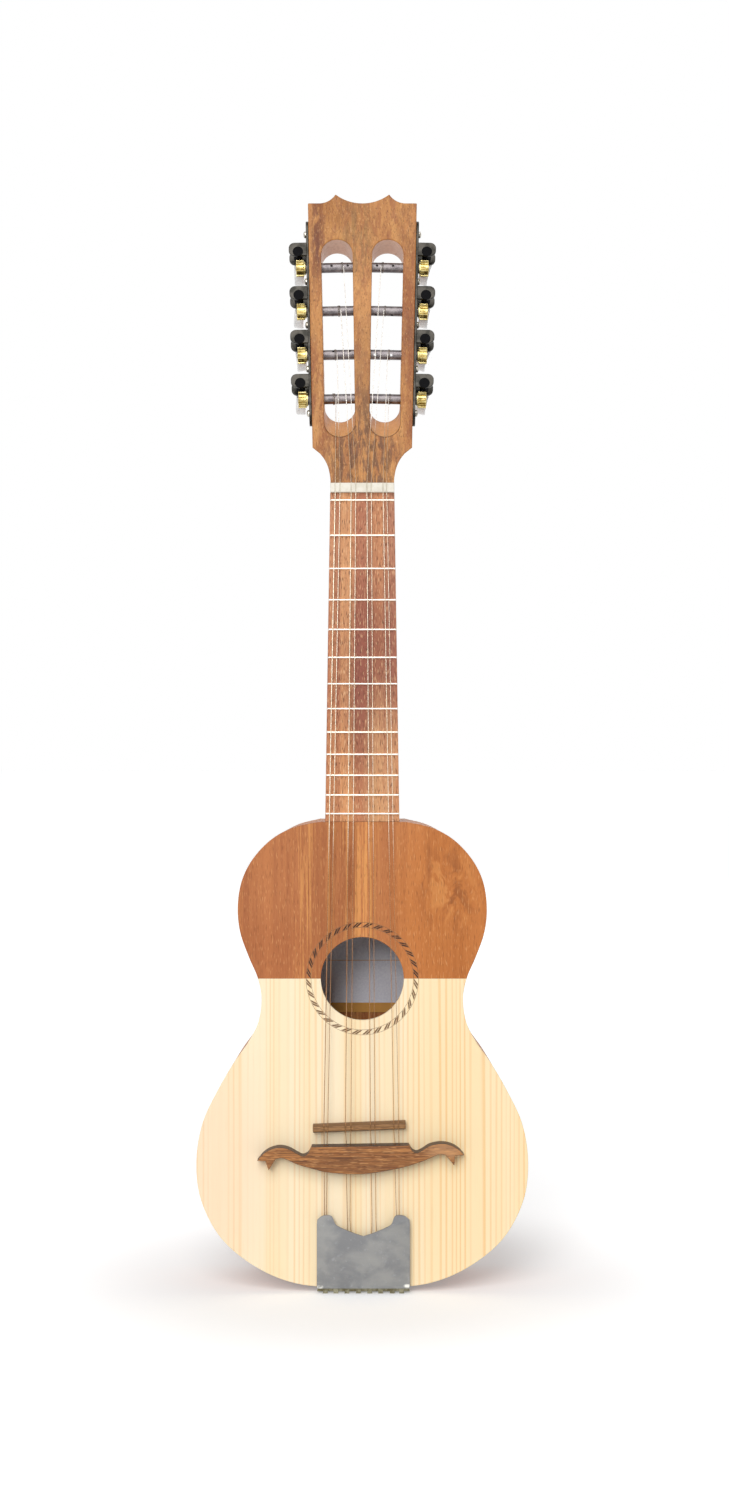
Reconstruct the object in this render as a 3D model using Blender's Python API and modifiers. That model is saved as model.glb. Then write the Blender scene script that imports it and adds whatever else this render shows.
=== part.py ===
"""A cavaquinho: a small eight-string guitar with a slotted head, a floating bridge and a metal tailpiece.

It stands on the hooks of its tailpiece with the neck along +Z, and its soundboard faces -Y. Lengths in this file
are millimetres. A point is written (x, depth, z): depth 0 is the front of the soundboard and grows to the back.
On the head, which tilts back, a point is written (x, depth under the head's face, way up the head from the nut).
"""

import math

import bmesh
import bpy
from mathutils import Matrix, Vector

MM = 0.001
GAP = 0.3  # kept between pieces that touch on the real instrument

# Whole instrument
SCALE_LENGTH = 340.0  # the string length that sets the frets
MIDDLE_DEPTH = 30.47  # halfway between the moustache bridge's face and the tuner buttons' ends
TAIL_Z = 3.1
BODY_TOP_Z = 255.2
BODY_DEPTH_AT_TAIL = 66.0
BODY_DEPTH_AT_NECK = 60.0
BACK_INSET = 1.5  # how far the ribs lean in at the back
LEAN_FADE = 8.0  # the ribs stand square at the neck joint, and lean fully this far below it

# Body
BOARD_THICKNESS = 2.5
BACK_THICKNESS = 2.5
RIB_THICKNESS = 2.0
LINING_WIDTH = 5.0
LINING_CLEARANCE = 0.9  # the lining is a coarser curve than the ribs, so it stays further off
LINING_HEIGHT = 8.0
BRACE_HEIGHT = 8.0
BRACE_WIDTH = 6.0
BRACE_TAPER = 18.0  # length of the wedge at each end
BRACE_END_HEIGHT = 2.5
TAIL_BLOCK_HALF_WIDTH = 24.0
TAIL_BLOCK_TOP_Z = 22.0
NECK_BLOCK_HALF_WIDTH = 26.0
NECK_BLOCK_LOW_Z = 230.0
SOUNDHOLE_Z = 170.2
SOUNDHOLE_RADIUS = 22.5
HOLE_STEPS = 48
ROSETTE_INNER_RADIUS = 27.7
ROSETTE_OUTER_RADIUS = 30.65
ROSETTE_THICKNESS = 0.7
TOP_BRACES_Z = (206.0, 122.0)
BACK_BRACES_Z = (200.0, 96.0)
LABEL_LOW = (-32.0, 145.0)
LABEL_HIGH = (30.0, 193.0)
PAPER = 0.3

# Neck and fingerboard
NUT_HALF_WIDTH = 17.35
JOINT_HALF_WIDTH = 20.15
BOARD_DEPTH = 5.0
NUT_LOW_Z = 433.8
NUT_HIGH_Z = 439.0
ZERO_FRET_Z = 429.7
NECK_DEPTH_AT_NUT = 20.2
NECK_DEPTH_AT_HEEL = 21.5
HEEL_CURVE_RADIUS = 26.0
HEEL_NOSE_Z = 267.0
HEEL_CAP_NOSE_Z = 264.0
HEEL_CAP_SLANT = 2.4
HEEL_RINGS_Z = (305.0, 293.0, 286.0, 280.0, 275.0, 271.0, 268.5)
TENON_HALF_WIDTH = 11.5
FRET_HEIGHT = 1.0
FRET_WIDTH = 1.9
FRET_SHOULDER = 0.45  # height where the crown starts to round over
TANG_WIDTH = 0.5
TANG_DEPTH = 1.6
LAST_FRET = 12

# Head, measured on its own face
HEAD_FOOT_Z = 439.4
HEAD_FACE_DEPTH = 3.0
HEAD_TILT = math.radians(13.0)
HEAD_THICKNESS = 18.0
SHOULDER_HALF_WIDTH = 27.18
SHOULDER_UP = 20.35
SHOULDER_SLANT = 0.4  # the head's underside rises towards the back
SHAFT_END_Z = 448.0  # the neck's shaft runs this far into the head
CORNER_HALF_WIDTH = 30.56
CORNER_UP = 165.7
CREST_HALF_WIDTH = 15.1
CREST_UP = 171.2
VALLEY_HALF_WIDTH = 24.4
SLOT_LOW = (12.35, 34.8, 8.4)  # centre x, centre up the head, radius
SLOT_HIGH = (14.2, 134.95, 8.75)
SLOT_RAMP = 15.7  # how much shorter the slot is at the head's back

# Tuners: four on each side, with posts in rows up the head
POST_ROWS = (129.5, 103.4, 77.3, 51.2)
POST_DEPTH = 7.2
POST_RADIUS = 2.75
POST_INNER_END = -26.3  # measured outwards from the head's side
GEAR_TEETH = 14
GEAR_TIP_RADIUS = 4.6
GEAR_ROOT_RADIUS = 3.8
GEAR_FROM, GEAR_TO = 2.9, 7.3
GEAR_SCREW_RADIUS = 1.7
WORM_RISE = 7.4  # the worm's axis over the post's
WORM_OUT = 6.1
WORM_RADIUS = 2.5
JOURNAL_RADIUS = 2.9
SHAFT_RADIUS = 1.6
FRONT_LUG = (0.8, 2.6)
REAR_LUG = (12.4, 14.0)
LUG_OUT = 11.2
LUG_HALF_HEIGHT = 3.9
LUG_CORNER = 3.0
LUG_LIFT = 1.5  # the lugs' middles over the worm's axis
PLATE_FROM, PLATE_TO = 0.3, 1.5
PLATE_DEPTHS = (1.4, 13.4)
PLATE_SPAN = (36.0, 157.5)
SCREW_ROWS = (150.0, 121.5, 95.4, 69.3, 43.2)
SCREW_DOME = ((0, 2.5), (1.2, 2.2), (1.7, 1.0), (0, 1.0))  # radius and way out
WORM_RIDGES = 2
BUTTON_CENTRE = 29.0
BUTTON_HALF_SIZES = (2.8, 6.5, 7.3)  # half its thickness, height and depth
BUTTON_CHAMFER = 1.6
BUTTON_TURNS = {"left": (0, 9, -7, 5), "right": (16, 10, 22, 14)}  # degrees, from the top row down

# Bridges
BRIDGE_LENGTH = 50.2
BRIDGE_WIDTH = 4.4
BRIDGE_HEIGHT = 6.8
BRIDGE_CENTRE = (-1.63, 90.4)
BRIDGE_TURN = math.radians(2.3)
NOTCH_FLOOR = 4.9
NOTCH_WIDTH = 1.6
MOUSTACHE_HEIGHT = 8.3
MOUSTACHE_LOW_HOLE_Z, MOUSTACHE_HIGH_HOLE_Z = 67.5, 81.5
STRING_HOLE_RADIUS = 1.0
STRING_HOLE_DEPTH = -4.4

# Tailpiece
COVER_FRONT = -4.6
SHEET = 1.0
COVER_CENTRE_X = 0.6
COVER_HALF_WIDTH = 25.2
COVER_LOW_Z = 3.2
COVER_SIDE_TOP_Z = 38.0
LEAF_HALF_WIDTH = 23.4
LEAF_TOP_Z = 26.0
LIP_HALF_WIDTH = 25.0  # the sheet is doubled over at the fold under the cover plate
LIP_LOW_Z = 0.9
LIP_FRONT = -1.6
LIP_BACK = 6.0
FLANGE_HALF_WIDTH = 21.0
FLANGE_FROM, FLANGE_CORNER, FLANGE_END = 5.0, 46.0, 54.0  # depths
FLANGE_END_HALF_WIDTH = 14.0
HOOK_WIDTH = 2.6
HOOK_PROFILE = ((-0.8, 6.4), (-2.9, 4.0), (-2.9, 0.5), (-2.5, 0.0), (-2.0, 0.5), (-2.0, 3.2), (-0.8, 4.4))
HOOK_X = (-20.0, -14.3, -8.3, -2.1, 4.0, 9.9, 16.2, 21.3)
FLANGE_SCREWS = ((0.0, 20.0), (-12.0, 46.0), (12.0, 46.0))
FLANGE_SCREW_DOME = ((0, 2.3), (3.0, 2.3), (3.0, 1.4), (2.2, 0.4), (1.0, 0.0), (0, 0.0))

# Strings, from the left of the photo, each with the x of its run at the marks below
STRING_RADII = (0.45, 0.4, 0.4, 0.35, 0.35, 0.3, 0.3, 0.25)
STRING_AT_TAIL = (-20.5, -19.4, -8.1, -6.7, 5.3, 7.4, 18.5, 20.1)
STRING_AT_BRIDGE = (-20.7, -18.6, -9.1, -6.1, 4.4, 6.8, 17.0, 19.6)
STRING_AT_NUT = (-14.6, -12.0, -6.0, -3.5, 2.5, 4.9, 11.2, 13.2)
STRING_AT_POST = (-14.5, -14.0, -12.0, -10.5, 10.5, 12.0, 14.0, 14.5)
STRING_ROW = (3, 2, 1, 0, 0, 1, 2, 3)

# Right edge of the body, from the neck joint down to the middle of the tail, as (x, z)
BODY_EDGE = (
    (24.0, 255.2),
    (36.0, 252.6),
    (45.0, 248.6),
    (52.5, 243.0),
    (60.5, 233.5),
    (65.6, 222.6),
    (67.6, 209.0),
    (66.3, 195.5),
    (61.4, 181.5),
    (56.9, 171.0),
    (54.7, 160.0),
    (56.4, 146.7),
    (61.8, 135.8),
    (69.4, 125.0),
    (78.9, 108.7),
    (86.5, 92.4),
    (89.9, 74.0),
    (88.7, 54.4),
    (82.9, 39.0),
    (74.9, 27.3),
    (62.1, 16.5),
    (46.5, 8.1),
    (29.3, 3.6),
    (0.0, 3.1),
)

# Upper edge of the moustache bridge from its left tip to its right tip, then its lower edge back, as (x, z)
MOUSTACHE_UPPER = (
    (-56.6, 72.8),
    (-53.2, 76.7),
    (-49.2, 79.1),
    (-44.2, 80.1),
    (-39.5, 79.1),
    (-35.1, 76.7),
    (-32.0, 75.4),
    (-29.1, 76.9),
    (-27.3, 80.4),
    (25.1, 81.2),
    (26.7, 78.5),
    (29.1, 77.2),
    (32.2, 78.4),
    (36.2, 80.9),
    (42.3, 82.1),
    (47.7, 81.3),
    (52.0, 78.9),
    (54.9, 75.8),
)
MOUSTACHE_LOWER = (
    (50.1, 75.5),
    (49.6, 70.3),
    (44.9, 75.8),
    (41.9, 76.2),
    (33.1, 72.7),
    (25.3, 70.1),
    (19.6, 68.7),
    (0.0, 65.6),
    (-19.4, 66.6),
    (-25.8, 68.2),
    (-34.7, 70.7),
    (-43.4, 74.2),
    (-46.8, 73.6),
    (-50.5, 67.6),
    (-52.1, 72.5),
)

# Right half of the cover plate's upper edge, from its side to the middle of the notch, as (x, z)
COVER_EDGE = (
    (25.0, 40.2),
    (22.1, 42.4),
    (17.3, 42.3),
    (15.1, 37.8),
    (12.6, 36.2),
    (4.9, 33.0),
    (0.0, 31.4),
)

BODY_FRAME = Matrix.Translation((0, -MIDDLE_DEPTH * MM, 0))
HEAD_FRAME = (
    BODY_FRAME
    @ Matrix.Translation((0, HEAD_FACE_DEPTH * MM, HEAD_FOOT_Z * MM))
    @ Matrix.Rotation(-HEAD_TILT, 4, "X")
)
SIDE_SLOPE = (CORNER_HALF_WIDTH - SHOULDER_HALF_WIDTH) / (CORNER_UP - SHOULDER_UP)
SIDES = {"left": -1, "right": 1}


def side_frame(side):
    """The frame of one edge of the head: +X points right, +Y under the face, and +Z runs up along the edge."""
    foot = SHOULDER_HALF_WIDTH - SIDE_SLOPE * SHOULDER_UP
    return (
        HEAD_FRAME
        @ Matrix.Translation((side * foot * MM, 0, 0))
        @ Matrix.Rotation(side * math.atan(SIDE_SLOPE), 4, "Y")
    )


def make_collection(name):
    collection = bpy.data.collections.new(name)
    bpy.context.scene.collection.children.link(collection)
    return collection


for leftover in list(bpy.data.objects):
    bpy.data.objects.remove(leftover)
PARTS = make_collection("cavaquinho")
CUTTERS = make_collection("cutters")
MATERIALS = {}


def material(name, colour, roughness, metallic=0.0):
    made = bpy.data.materials.new(name)
    made.use_nodes = True
    shader = made.node_tree.nodes["Principled BSDF"]
    shader.inputs["Base Color"].default_value = (*colour, 1.0)
    shader.inputs["Roughness"].default_value = roughness
    shader.inputs["Metallic"].default_value = metallic
    MATERIALS[name] = made


material("spruce", (0.86, 0.68, 0.40), 0.35)
material("mahogany", (0.38, 0.14, 0.045), 0.35)
material("neck_wood", (0.46, 0.20, 0.08), 0.4)
material("board_wood", (0.44, 0.20, 0.10), 0.45)
material("inner_wood", (0.60, 0.42, 0.24), 0.7)
material("rosette", (0.16, 0.07, 0.03), 0.4)
material("bone", (0.86, 0.84, 0.78), 0.4)
material("fret_wire", (0.72, 0.70, 0.66), 0.3, 1.0)
material("string_steel", (0.70, 0.68, 0.64), 0.3, 1.0)
material("bridge_wood", (0.24, 0.12, 0.05), 0.45)
material("moustache_wood", (0.30, 0.10, 0.03), 0.4)
material("tail_steel", (0.36, 0.35, 0.33), 0.4, 1.0)
material("plate_steel", (0.20, 0.18, 0.16), 0.4, 1.0)
material("post_steel", (0.40, 0.36, 0.34), 0.35, 1.0)
material("brass", (0.80, 0.60, 0.22), 0.3, 1.0)
material("pearl", (0.70, 0.70, 0.72), 0.25)
material("paper", (0.60, 0.58, 0.62), 0.8)


def place(part, frame, finish=None, cutter=False):
    """Set where a part is, and put it among the parts or among the cutters."""
    part.matrix_world = frame
    (CUTTERS if cutter else PARTS).objects.link(part)
    if cutter:
        part.hide_render = True
        part.display_type = "WIRE"
    else:
        part.data.materials.clear()
        part.data.materials.append(MATERIALS[finish])
    return part


def clean(mesh):
    """Weld a mesh's loose caps, and face it outwards."""
    bm = bmesh.new()
    bm.from_mesh(mesh)
    bmesh.ops.remove_doubles(bm, verts=bm.verts, dist=1e-6)
    bmesh.ops.recalc_face_normals(bm, faces=bm.faces)
    bm.to_mesh(mesh)
    bm.free()


def evaluated_mesh(source):
    bpy.context.view_layer.update()
    graph = bpy.context.evaluated_depsgraph_get()
    mesh = bpy.data.meshes.new_from_object(source.evaluated_get(graph))
    clean(mesh)
    return mesh


# How a flat outline (a, b) and its thickness lie in a frame, for each direction of the thickness
TURNS = {
    "depth": Matrix(((1, 0, 0, 0), (0, 0, -1, 0), (0, 1, 0, 0), (0, 0, 0, 1))),
    "x": Matrix(((0, 0, 1, 0), (1, 0, 0, 0), (0, 1, 0, 0), (0, 0, 0, 1))),
    "z": Matrix.Identity(4),
}
DIRECTIONS = {"depth": Vector((0, 1, 0)), "x": Vector((1, 0, 0)), "z": Vector((0, 0, 1))}


def prism_mesh(outline, direction, low, high, edge=0.0):
    """A flat outline, thick from low to high along a direction, with its edges broken by a small chamfer."""
    curve = bpy.data.curves.new("outline", "CURVE")
    curve.dimensions = "2D"
    curve.fill_mode = "BOTH"
    curve.extrude = ((high - low) / 2 - edge) * MM
    curve.bevel_depth = edge * MM
    curve.bevel_resolution = 0
    curve.offset = -edge * MM
    spline = curve.splines.new("POLY")
    spline.points.add(len(outline) - 1)
    for spot, (a, b) in zip(spline.points, outline):
        spot.co = (a * MM, b * MM, 0, 1)
    spline.use_cyclic_u = True
    source = bpy.data.objects.new("outline", curve)
    bpy.context.scene.collection.objects.link(source)
    mesh = evaluated_mesh(source)
    bpy.data.objects.remove(source)
    middle = DIRECTIONS[direction] * (low + high) / 2 * MM
    mesh.transform(Matrix.Translation(middle) @ TURNS[direction])
    return mesh


def prism(name, outline, direction, low, high, frame, finish=None, edge=0.0, cutter=False):
    mesh = prism_mesh(outline, direction, low, high, edge)
    return place(bpy.data.objects.new(name, mesh), frame, finish, cutter)


def box(name, low, high, frame, finish=None, edge=0.0, cutter=False):
    """A block between two corners (x, depth, z)."""
    outline = ((low[0], low[2]), (high[0], low[2]), (high[0], high[2]), (low[0], high[2]))
    return prism(name, outline, "depth", low[1], high[1], frame, finish, edge, cutter)


def turned_mesh(profile, steps):
    """A turned solid about Z: profile points are (radius, height), from its top to its bottom."""
    mesh = bpy.data.meshes.new("turned")
    points = [(radius * MM, 0, height * MM) for radius, height in profile]
    mesh.from_pydata(points, [(i, i + 1) for i in range(len(points) - 1)], [])
    source = bpy.data.objects.new("turned", mesh)
    bpy.context.scene.collection.objects.link(source)
    screw = source.modifiers.new("Screw", "SCREW")
    screw.steps = steps
    screw.render_steps = steps
    screw.use_merge_vertices = True
    screw.merge_threshold = 1e-6
    solid = evaluated_mesh(source)
    bpy.data.objects.remove(source)
    return solid


def turned(name, profile, steps, frame, finish=None, cutter=False):
    return place(bpy.data.objects.new(name, turned_mesh(profile, steps)), frame, finish, cutter)


def boolean(part, operation, *others):
    for other in others:
        modifier = part.modifiers.new(other.name, "BOOLEAN")
        modifier.operation = operation
        modifier.object = other
        modifier.solver = "EXACT"
    return part


def cut(part, *cutters):
    return boolean(part, "DIFFERENCE", *cutters)


def join(part, *others):
    return boolean(part, "UNION", *others)


def smooth(part, angle=40):
    part.data.shade_smooth()
    part.data.set_sharp_from_angle(angle=math.radians(angle))
    return part


def through(points, steps):
    """A smooth open line through points (x, z): a centripetal Catmull-Rom spline, with steps in each span."""
    knots = [Vector(p) for p in points]
    knots = [2 * knots[0] - knots[1]] + knots + [2 * knots[-1] - knots[-2]]
    line = []
    for a, b, c, d in zip(knots, knots[1:], knots[2:], knots[3:]):
        ab, bc, cd = (math.sqrt((q - p).length) for p, q in ((a, b), (b, c), (c, d)))
        leave = ((b - a) / ab - (c - a) / (ab + bc) + (c - b) / bc) * bc
        arrive = ((c - b) / bc - (d - b) / (bc + cd) + (d - c) / cd) * bc
        for step in range(steps):
            t = step / steps
            line.append(
                (2 * t**3 - 3 * t**2 + 1) * b
                + (t**3 - 2 * t**2 + t) * leave
                + (3 * t**2 - 2 * t**3) * c
                + (t**3 - t**2) * arrive
            )
    line.append(knots[-2])
    return [tuple(p) for p in line]


def arc(centre, radius, start, end, steps):
    """Points of a circle's arc between two angles in degrees."""
    angles = [math.radians(start + (end - start) * i / steps) for i in range(steps + 1)]
    return [(centre[0] + radius * math.cos(a), centre[1] + radius * math.sin(a)) for a in angles]


def mirrored(half):
    """A half outline that ends on the middle line, and its mirror image after it."""
    on_line = abs(half[-1][0]) < 1e-9
    back = half[-2::-1] if on_line else half[::-1]
    return list(half) + [(-x, z) for x, z in back]


def inset(line, distance):
    """An open line moved to its right-hand side, seen along its way, by a number or a rule of z."""
    moved = []
    for i, (x, z) in enumerate(line):
        before = line[max(i - 1, 0)]
        after = line[min(i + 1, len(line) - 1)]
        run = Vector((after[0] - before[0], after[1] - before[1])).normalized()
        here = distance(z) if callable(distance) else distance
        moved.append((x + run.y * here, z - run.x * here))
    return moved


def leaned(line, depth_at):
    """A line along the ribs at a depth that depends on z, moved in as the ribs lean in towards the back."""
    steepness = BACK_INSET / BODY_DEPTH_AT_TAIL
    return inset(line, lambda z: steepness * depth_at(z) * min(1.0, (BODY_TOP_Z - z) / LEAN_FADE))


def back_depth(z):
    """Depth of the back's outer face: the body is a little shallower at the neck."""
    share = (z - TAIL_Z) / (BODY_TOP_Z - TAIL_Z)
    return BODY_DEPTH_AT_TAIL + (BODY_DEPTH_AT_NECK - BODY_DEPTH_AT_TAIL) * share


def board_half_width(z):
    share = (z - BODY_TOP_Z) / (NUT_HIGH_Z - BODY_TOP_Z)
    return JOINT_HALF_WIDTH + (NUT_HALF_WIDTH - JOINT_HALF_WIDTH) * share


def fret_z(number):
    return ZERO_FRET_Z - SCALE_LENGTH * (1 - 2 ** (-number / 12))


BODY_OUTLINE = mirrored(through(BODY_EDGE, 2))


# Body

def part_of_outline(low, high):
    """The body's outline between two heights, closed by straight cuts."""
    kept = []
    ring = BODY_OUTLINE + BODY_OUTLINE[:1]
    for (x1, z1), (x2, z2) in zip(ring, ring[1:]):
        if low <= z1 <= high:
            kept.append((x1, z1))
        for level in (low, high):
            if (z1 - level) * (z2 - level) < 0:
                share = (level - z1) / (z2 - z1)
                kept.append((x1 + (x2 - x1) * share, level))
    return kept


def make_soundboards():
    hole = turned(
        "soundhole_cutter",
        ((0, 10), (SOUNDHOLE_RADIUS, 10), (SOUNDHOLE_RADIUS, -10), (0, -10)),
        HOLE_STEPS,
        BODY_FRAME @ Matrix.Translation((0, 0, SOUNDHOLE_Z * MM)) @ Matrix.Rotation(math.radians(90), 4, "X"),
        cutter=True,
    )
    inner = ROSETTE_INNER_RADIUS - GAP
    outer = ROSETTE_OUTER_RADIUS + GAP
    floor = -(ROSETTE_THICKNESS + GAP)
    groove = turned(
        "rosette_groove_cutter",
        ((inner, 5), (outer, 5), (outer, floor), (inner, floor), (inner, 5)),
        HOLE_STEPS,
        hole.matrix_world,
        cutter=True,
    )
    lower = part_of_outline(0, SOUNDHOLE_Z - GAP / 2)
    upper = part_of_outline(SOUNDHOLE_Z + GAP / 2, BODY_TOP_Z + 1)
    for name, outline, finish in (
        ("soundboard", lower, "spruce"),
        ("soundboard_upper", upper, "mahogany"),
    ):
        board = prism(name, outline, "depth", 0, BOARD_THICKNESS, BODY_FRAME, finish)
        cut(board, hole, groove)


def make_rosette():
    inner, outer = ROSETTE_INNER_RADIUS, ROSETTE_OUTER_RADIUS
    ring = turned(
        "rosette_ring",
        ((inner, 0), (outer, 0), (outer, -ROSETTE_THICKNESS), (inner, -ROSETTE_THICKNESS), (inner, 0)),
        HOLE_STEPS,
        BODY_FRAME @ Matrix.Translation((0, 0, SOUNDHOLE_Z * MM)) @ Matrix.Rotation(math.radians(90), 4, "X"),
        "rosette",
    )
    smooth(ring)


def make_back():
    """The back plate, and a bare paper label on its inside, both slanted as the body gets shallower."""
    slanted = Matrix.Identity(4)
    slanted[1][2] = (BODY_DEPTH_AT_NECK - BODY_DEPTH_AT_TAIL) / (BODY_TOP_Z - TAIL_Z)
    slanted[1][3] = back_depth(0) * MM
    outline = leaned(BODY_OUTLINE, back_depth)
    back = prism("back_plate", outline, "depth", -BACK_THICKNESS, 0, BODY_FRAME, "mahogany")
    back.data.transform(slanted)
    glued = -BACK_THICKNESS - GAP
    low, high = (LABEL_LOW[0], glued - PAPER, LABEL_LOW[1]), (LABEL_HIGH[0], glued, LABEL_HIGH[1])
    label = box("paper_label", low, high, BODY_FRAME, "paper")
    label.data.transform(slanted)


def wall(name, line, front, back_room, thickness, finish):
    """A bent strip along the ribs' line, between two depths that are rules of z, thick to the line's right."""
    mesh = bpy.data.meshes.new(name)
    near = [(x * MM, front(z) * MM, z * MM) for x, z in leaned(line, front)]
    far = [(x * MM, back_room(z) * MM, z * MM) for x, z in leaned(line, back_room)]
    count = len(line)
    faces = [(i, i + 1, count + i + 1, count + i) for i in range(count - 1)]
    mesh.from_pydata(near + far, [], faces)
    strip = place(bpy.data.objects.new(name, mesh), BODY_FRAME, finish)
    solidify = strip.modifiers.new("Thickness", "SOLIDIFY")
    solidify.thickness = thickness * MM
    solidify.offset = -1
    solidify.use_even_offset = True
    return smooth(strip)


def make_ribs():
    half = [(12.0, BODY_TOP_Z), (18.0, BODY_TOP_Z)] + through(BODY_EDGE, 2)
    right = half[:-1] + [(GAP / 2, TAIL_Z)]
    left = [(-x, z) for x, z in reversed(right)]
    front = BOARD_THICKNESS + GAP
    for name, line in (("rib_right", right), ("rib_left", left)):
        wall(
            name,
            line,
            lambda z: front,
            lambda z: back_depth(z) - BACK_THICKNESS - GAP,
            RIB_THICKNESS,
            "mahogany",
        )


def make_linings():
    edge = [spot for spot in BODY_EDGE if spot[0] > 32 or spot[1] < 200]
    line = inset(mirrored(edge), RIB_THICKNESS + LINING_CLEARANCE)
    front = BOARD_THICKNESS + GAP
    wall("top_lining", line, lambda z: front, lambda z: front + LINING_HEIGHT, LINING_WIDTH, "inner_wood")
    wall(
        "back_lining",
        line,
        lambda z: back_depth(z) - BACK_THICKNESS - GAP - LINING_HEIGHT,
        lambda z: back_depth(z) - BACK_THICKNESS - GAP,
        LINING_WIDTH,
        "inner_wood",
    )


def make_tail_block():
    """A block whose foot follows the inside of the ribs."""
    half_width = TAIL_BLOCK_HALF_WIDTH
    edge = inset(BODY_OUTLINE, RIB_THICKNESS + BACK_INSET + GAP)
    foot = [(x, z) for x, z in edge if abs(x) < half_width and z < TAIL_BLOCK_TOP_Z]
    corner = max(z for x, z in edge if abs(x) < half_width * 1.3 and z < TAIL_BLOCK_TOP_Z)
    foot = [(half_width, corner)] + foot + [(-half_width, corner)]
    outline = foot + [(-half_width, TAIL_BLOCK_TOP_Z), (half_width, TAIL_BLOCK_TOP_Z)]
    low = BOARD_THICKNESS + LINING_HEIGHT + 2 * GAP
    high = back_depth(TAIL_BLOCK_TOP_Z) - BACK_THICKNESS - LINING_HEIGHT - 2 * GAP
    prism("tail_block", outline, "depth", low, high, BODY_FRAME, "inner_wood")


def half_width_inside(z):
    """Half the body's inner width between the linings at the back, at a height."""
    lining = inset(BODY_OUTLINE, RIB_THICKNESS + BACK_INSET + LINING_CLEARANCE + LINING_WIDTH + 2 * GAP)
    crossings = [
        x1 + (x2 - x1) * (z - z1) / (z2 - z1)
        for (x1, z1), (x2, z2) in zip(lining, lining[1:])
        if (z1 - z) * (z2 - z) < 0 and x1 > 0
    ]
    return crossings[0]


def brace(name, z, depth, towards_back):
    """A cross bar with ends cut down to a wedge, glued flat on a board."""
    low, high = z - BRACE_WIDTH / 2, z + BRACE_WIDTH / 2
    reach = min(half_width_inside(low), half_width_inside(high))
    ends = reach - BRACE_TAPER
    root = depth if towards_back else -depth
    tip = root + BRACE_HEIGHT
    shallow = root + BRACE_END_HEIGHT
    outline = ((reach, root), (reach, shallow), (ends, tip), (-ends, tip), (-reach, shallow), (-reach, root))
    if not towards_back:
        outline = tuple((x, -d) for x, d in outline)
    prism(name, outline, "z", low, high, BODY_FRAME, "inner_wood")


def make_braces():
    under_board = BOARD_THICKNESS + GAP
    brace("top_brace_upper", TOP_BRACES_Z[0], under_board, True)
    brace("top_brace_lower", TOP_BRACES_Z[1], under_board, True)
    for name, z in (("back_brace_upper", BACK_BRACES_Z[0]), ("back_brace_lower", BACK_BRACES_Z[1])):
        on_back = back_depth(z + BRACE_WIDTH / 2) - BACK_THICKNESS - GAP
        brace(name, z, on_back, False)


# Neck, head and fingerboard

def neck_depth(z):
    """Depth of the neck's back at a height: almost level, then a quarter round down into the heel."""
    top_of_curve = HEEL_NOSE_Z + HEEL_CURVE_RADIUS
    if z >= top_of_curve:
        share = (z - top_of_curve) / (HEAD_FOOT_Z - top_of_curve)
        return NECK_DEPTH_AT_HEEL + (NECK_DEPTH_AT_NUT - NECK_DEPTH_AT_HEEL) * share
    if z >= HEEL_NOSE_Z:
        rest = math.sqrt(HEEL_CURVE_RADIUS**2 - (top_of_curve - z) ** 2)
        return NECK_DEPTH_AT_HEEL + HEEL_CURVE_RADIUS - rest
    curve_end = NECK_DEPTH_AT_HEEL + HEEL_CURVE_RADIUS
    steepness = (BODY_DEPTH_AT_NECK - curve_end) / (HEEL_NOSE_Z - HEEL_CAP_NOSE_Z)
    if z >= HEEL_CAP_NOSE_Z:
        return curve_end + (HEEL_NOSE_Z - z) * steepness
    return BODY_DEPTH_AT_NECK + (HEEL_CAP_NOSE_Z - z) * HEEL_CAP_SLANT


def neck_section(z, steps=12):
    """Half-round section of the neck at a height, cut off flat where the heel meets the back."""
    front = BOARD_DEPTH + GAP
    deep = neck_depth(z) - front
    half_width = board_half_width(z)
    ring = []
    for i in range(steps + 1):
        angle = math.pi * i / steps
        x = half_width * math.copysign(abs(math.cos(angle)) ** 0.85, math.cos(angle))
        depth = min(front + deep * math.sin(angle) ** 0.95, BODY_DEPTH_AT_NECK)
        ring.append((x * MM, depth * MM, z * MM))
    return ring


def make_neck_shaft():
    heel = [*HEEL_RINGS_Z, HEEL_NOSE_Z, HEEL_CAP_NOSE_Z, 261.5, BODY_TOP_Z + GAP]
    rings = [neck_section(z) for z in [SHAFT_END_Z, 380.0] + heel]
    size = len(rings[0])
    points = [point for ring in rings for point in ring]
    faces = [list(range(size)), list(range(len(points) - size, len(points)))]
    for row in range(len(rings) - 1):
        for i in range(size):
            j = (i + 1) % size
            a, b = row * size, (row + 1) * size
            faces.append([a + i, a + j, b + j, b + i])
    mesh = bpy.data.meshes.new("neck")
    mesh.from_pydata(points, [], faces)
    clean(mesh)
    return place(bpy.data.objects.new("neck", mesh), BODY_FRAME, "neck_wood")


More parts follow.
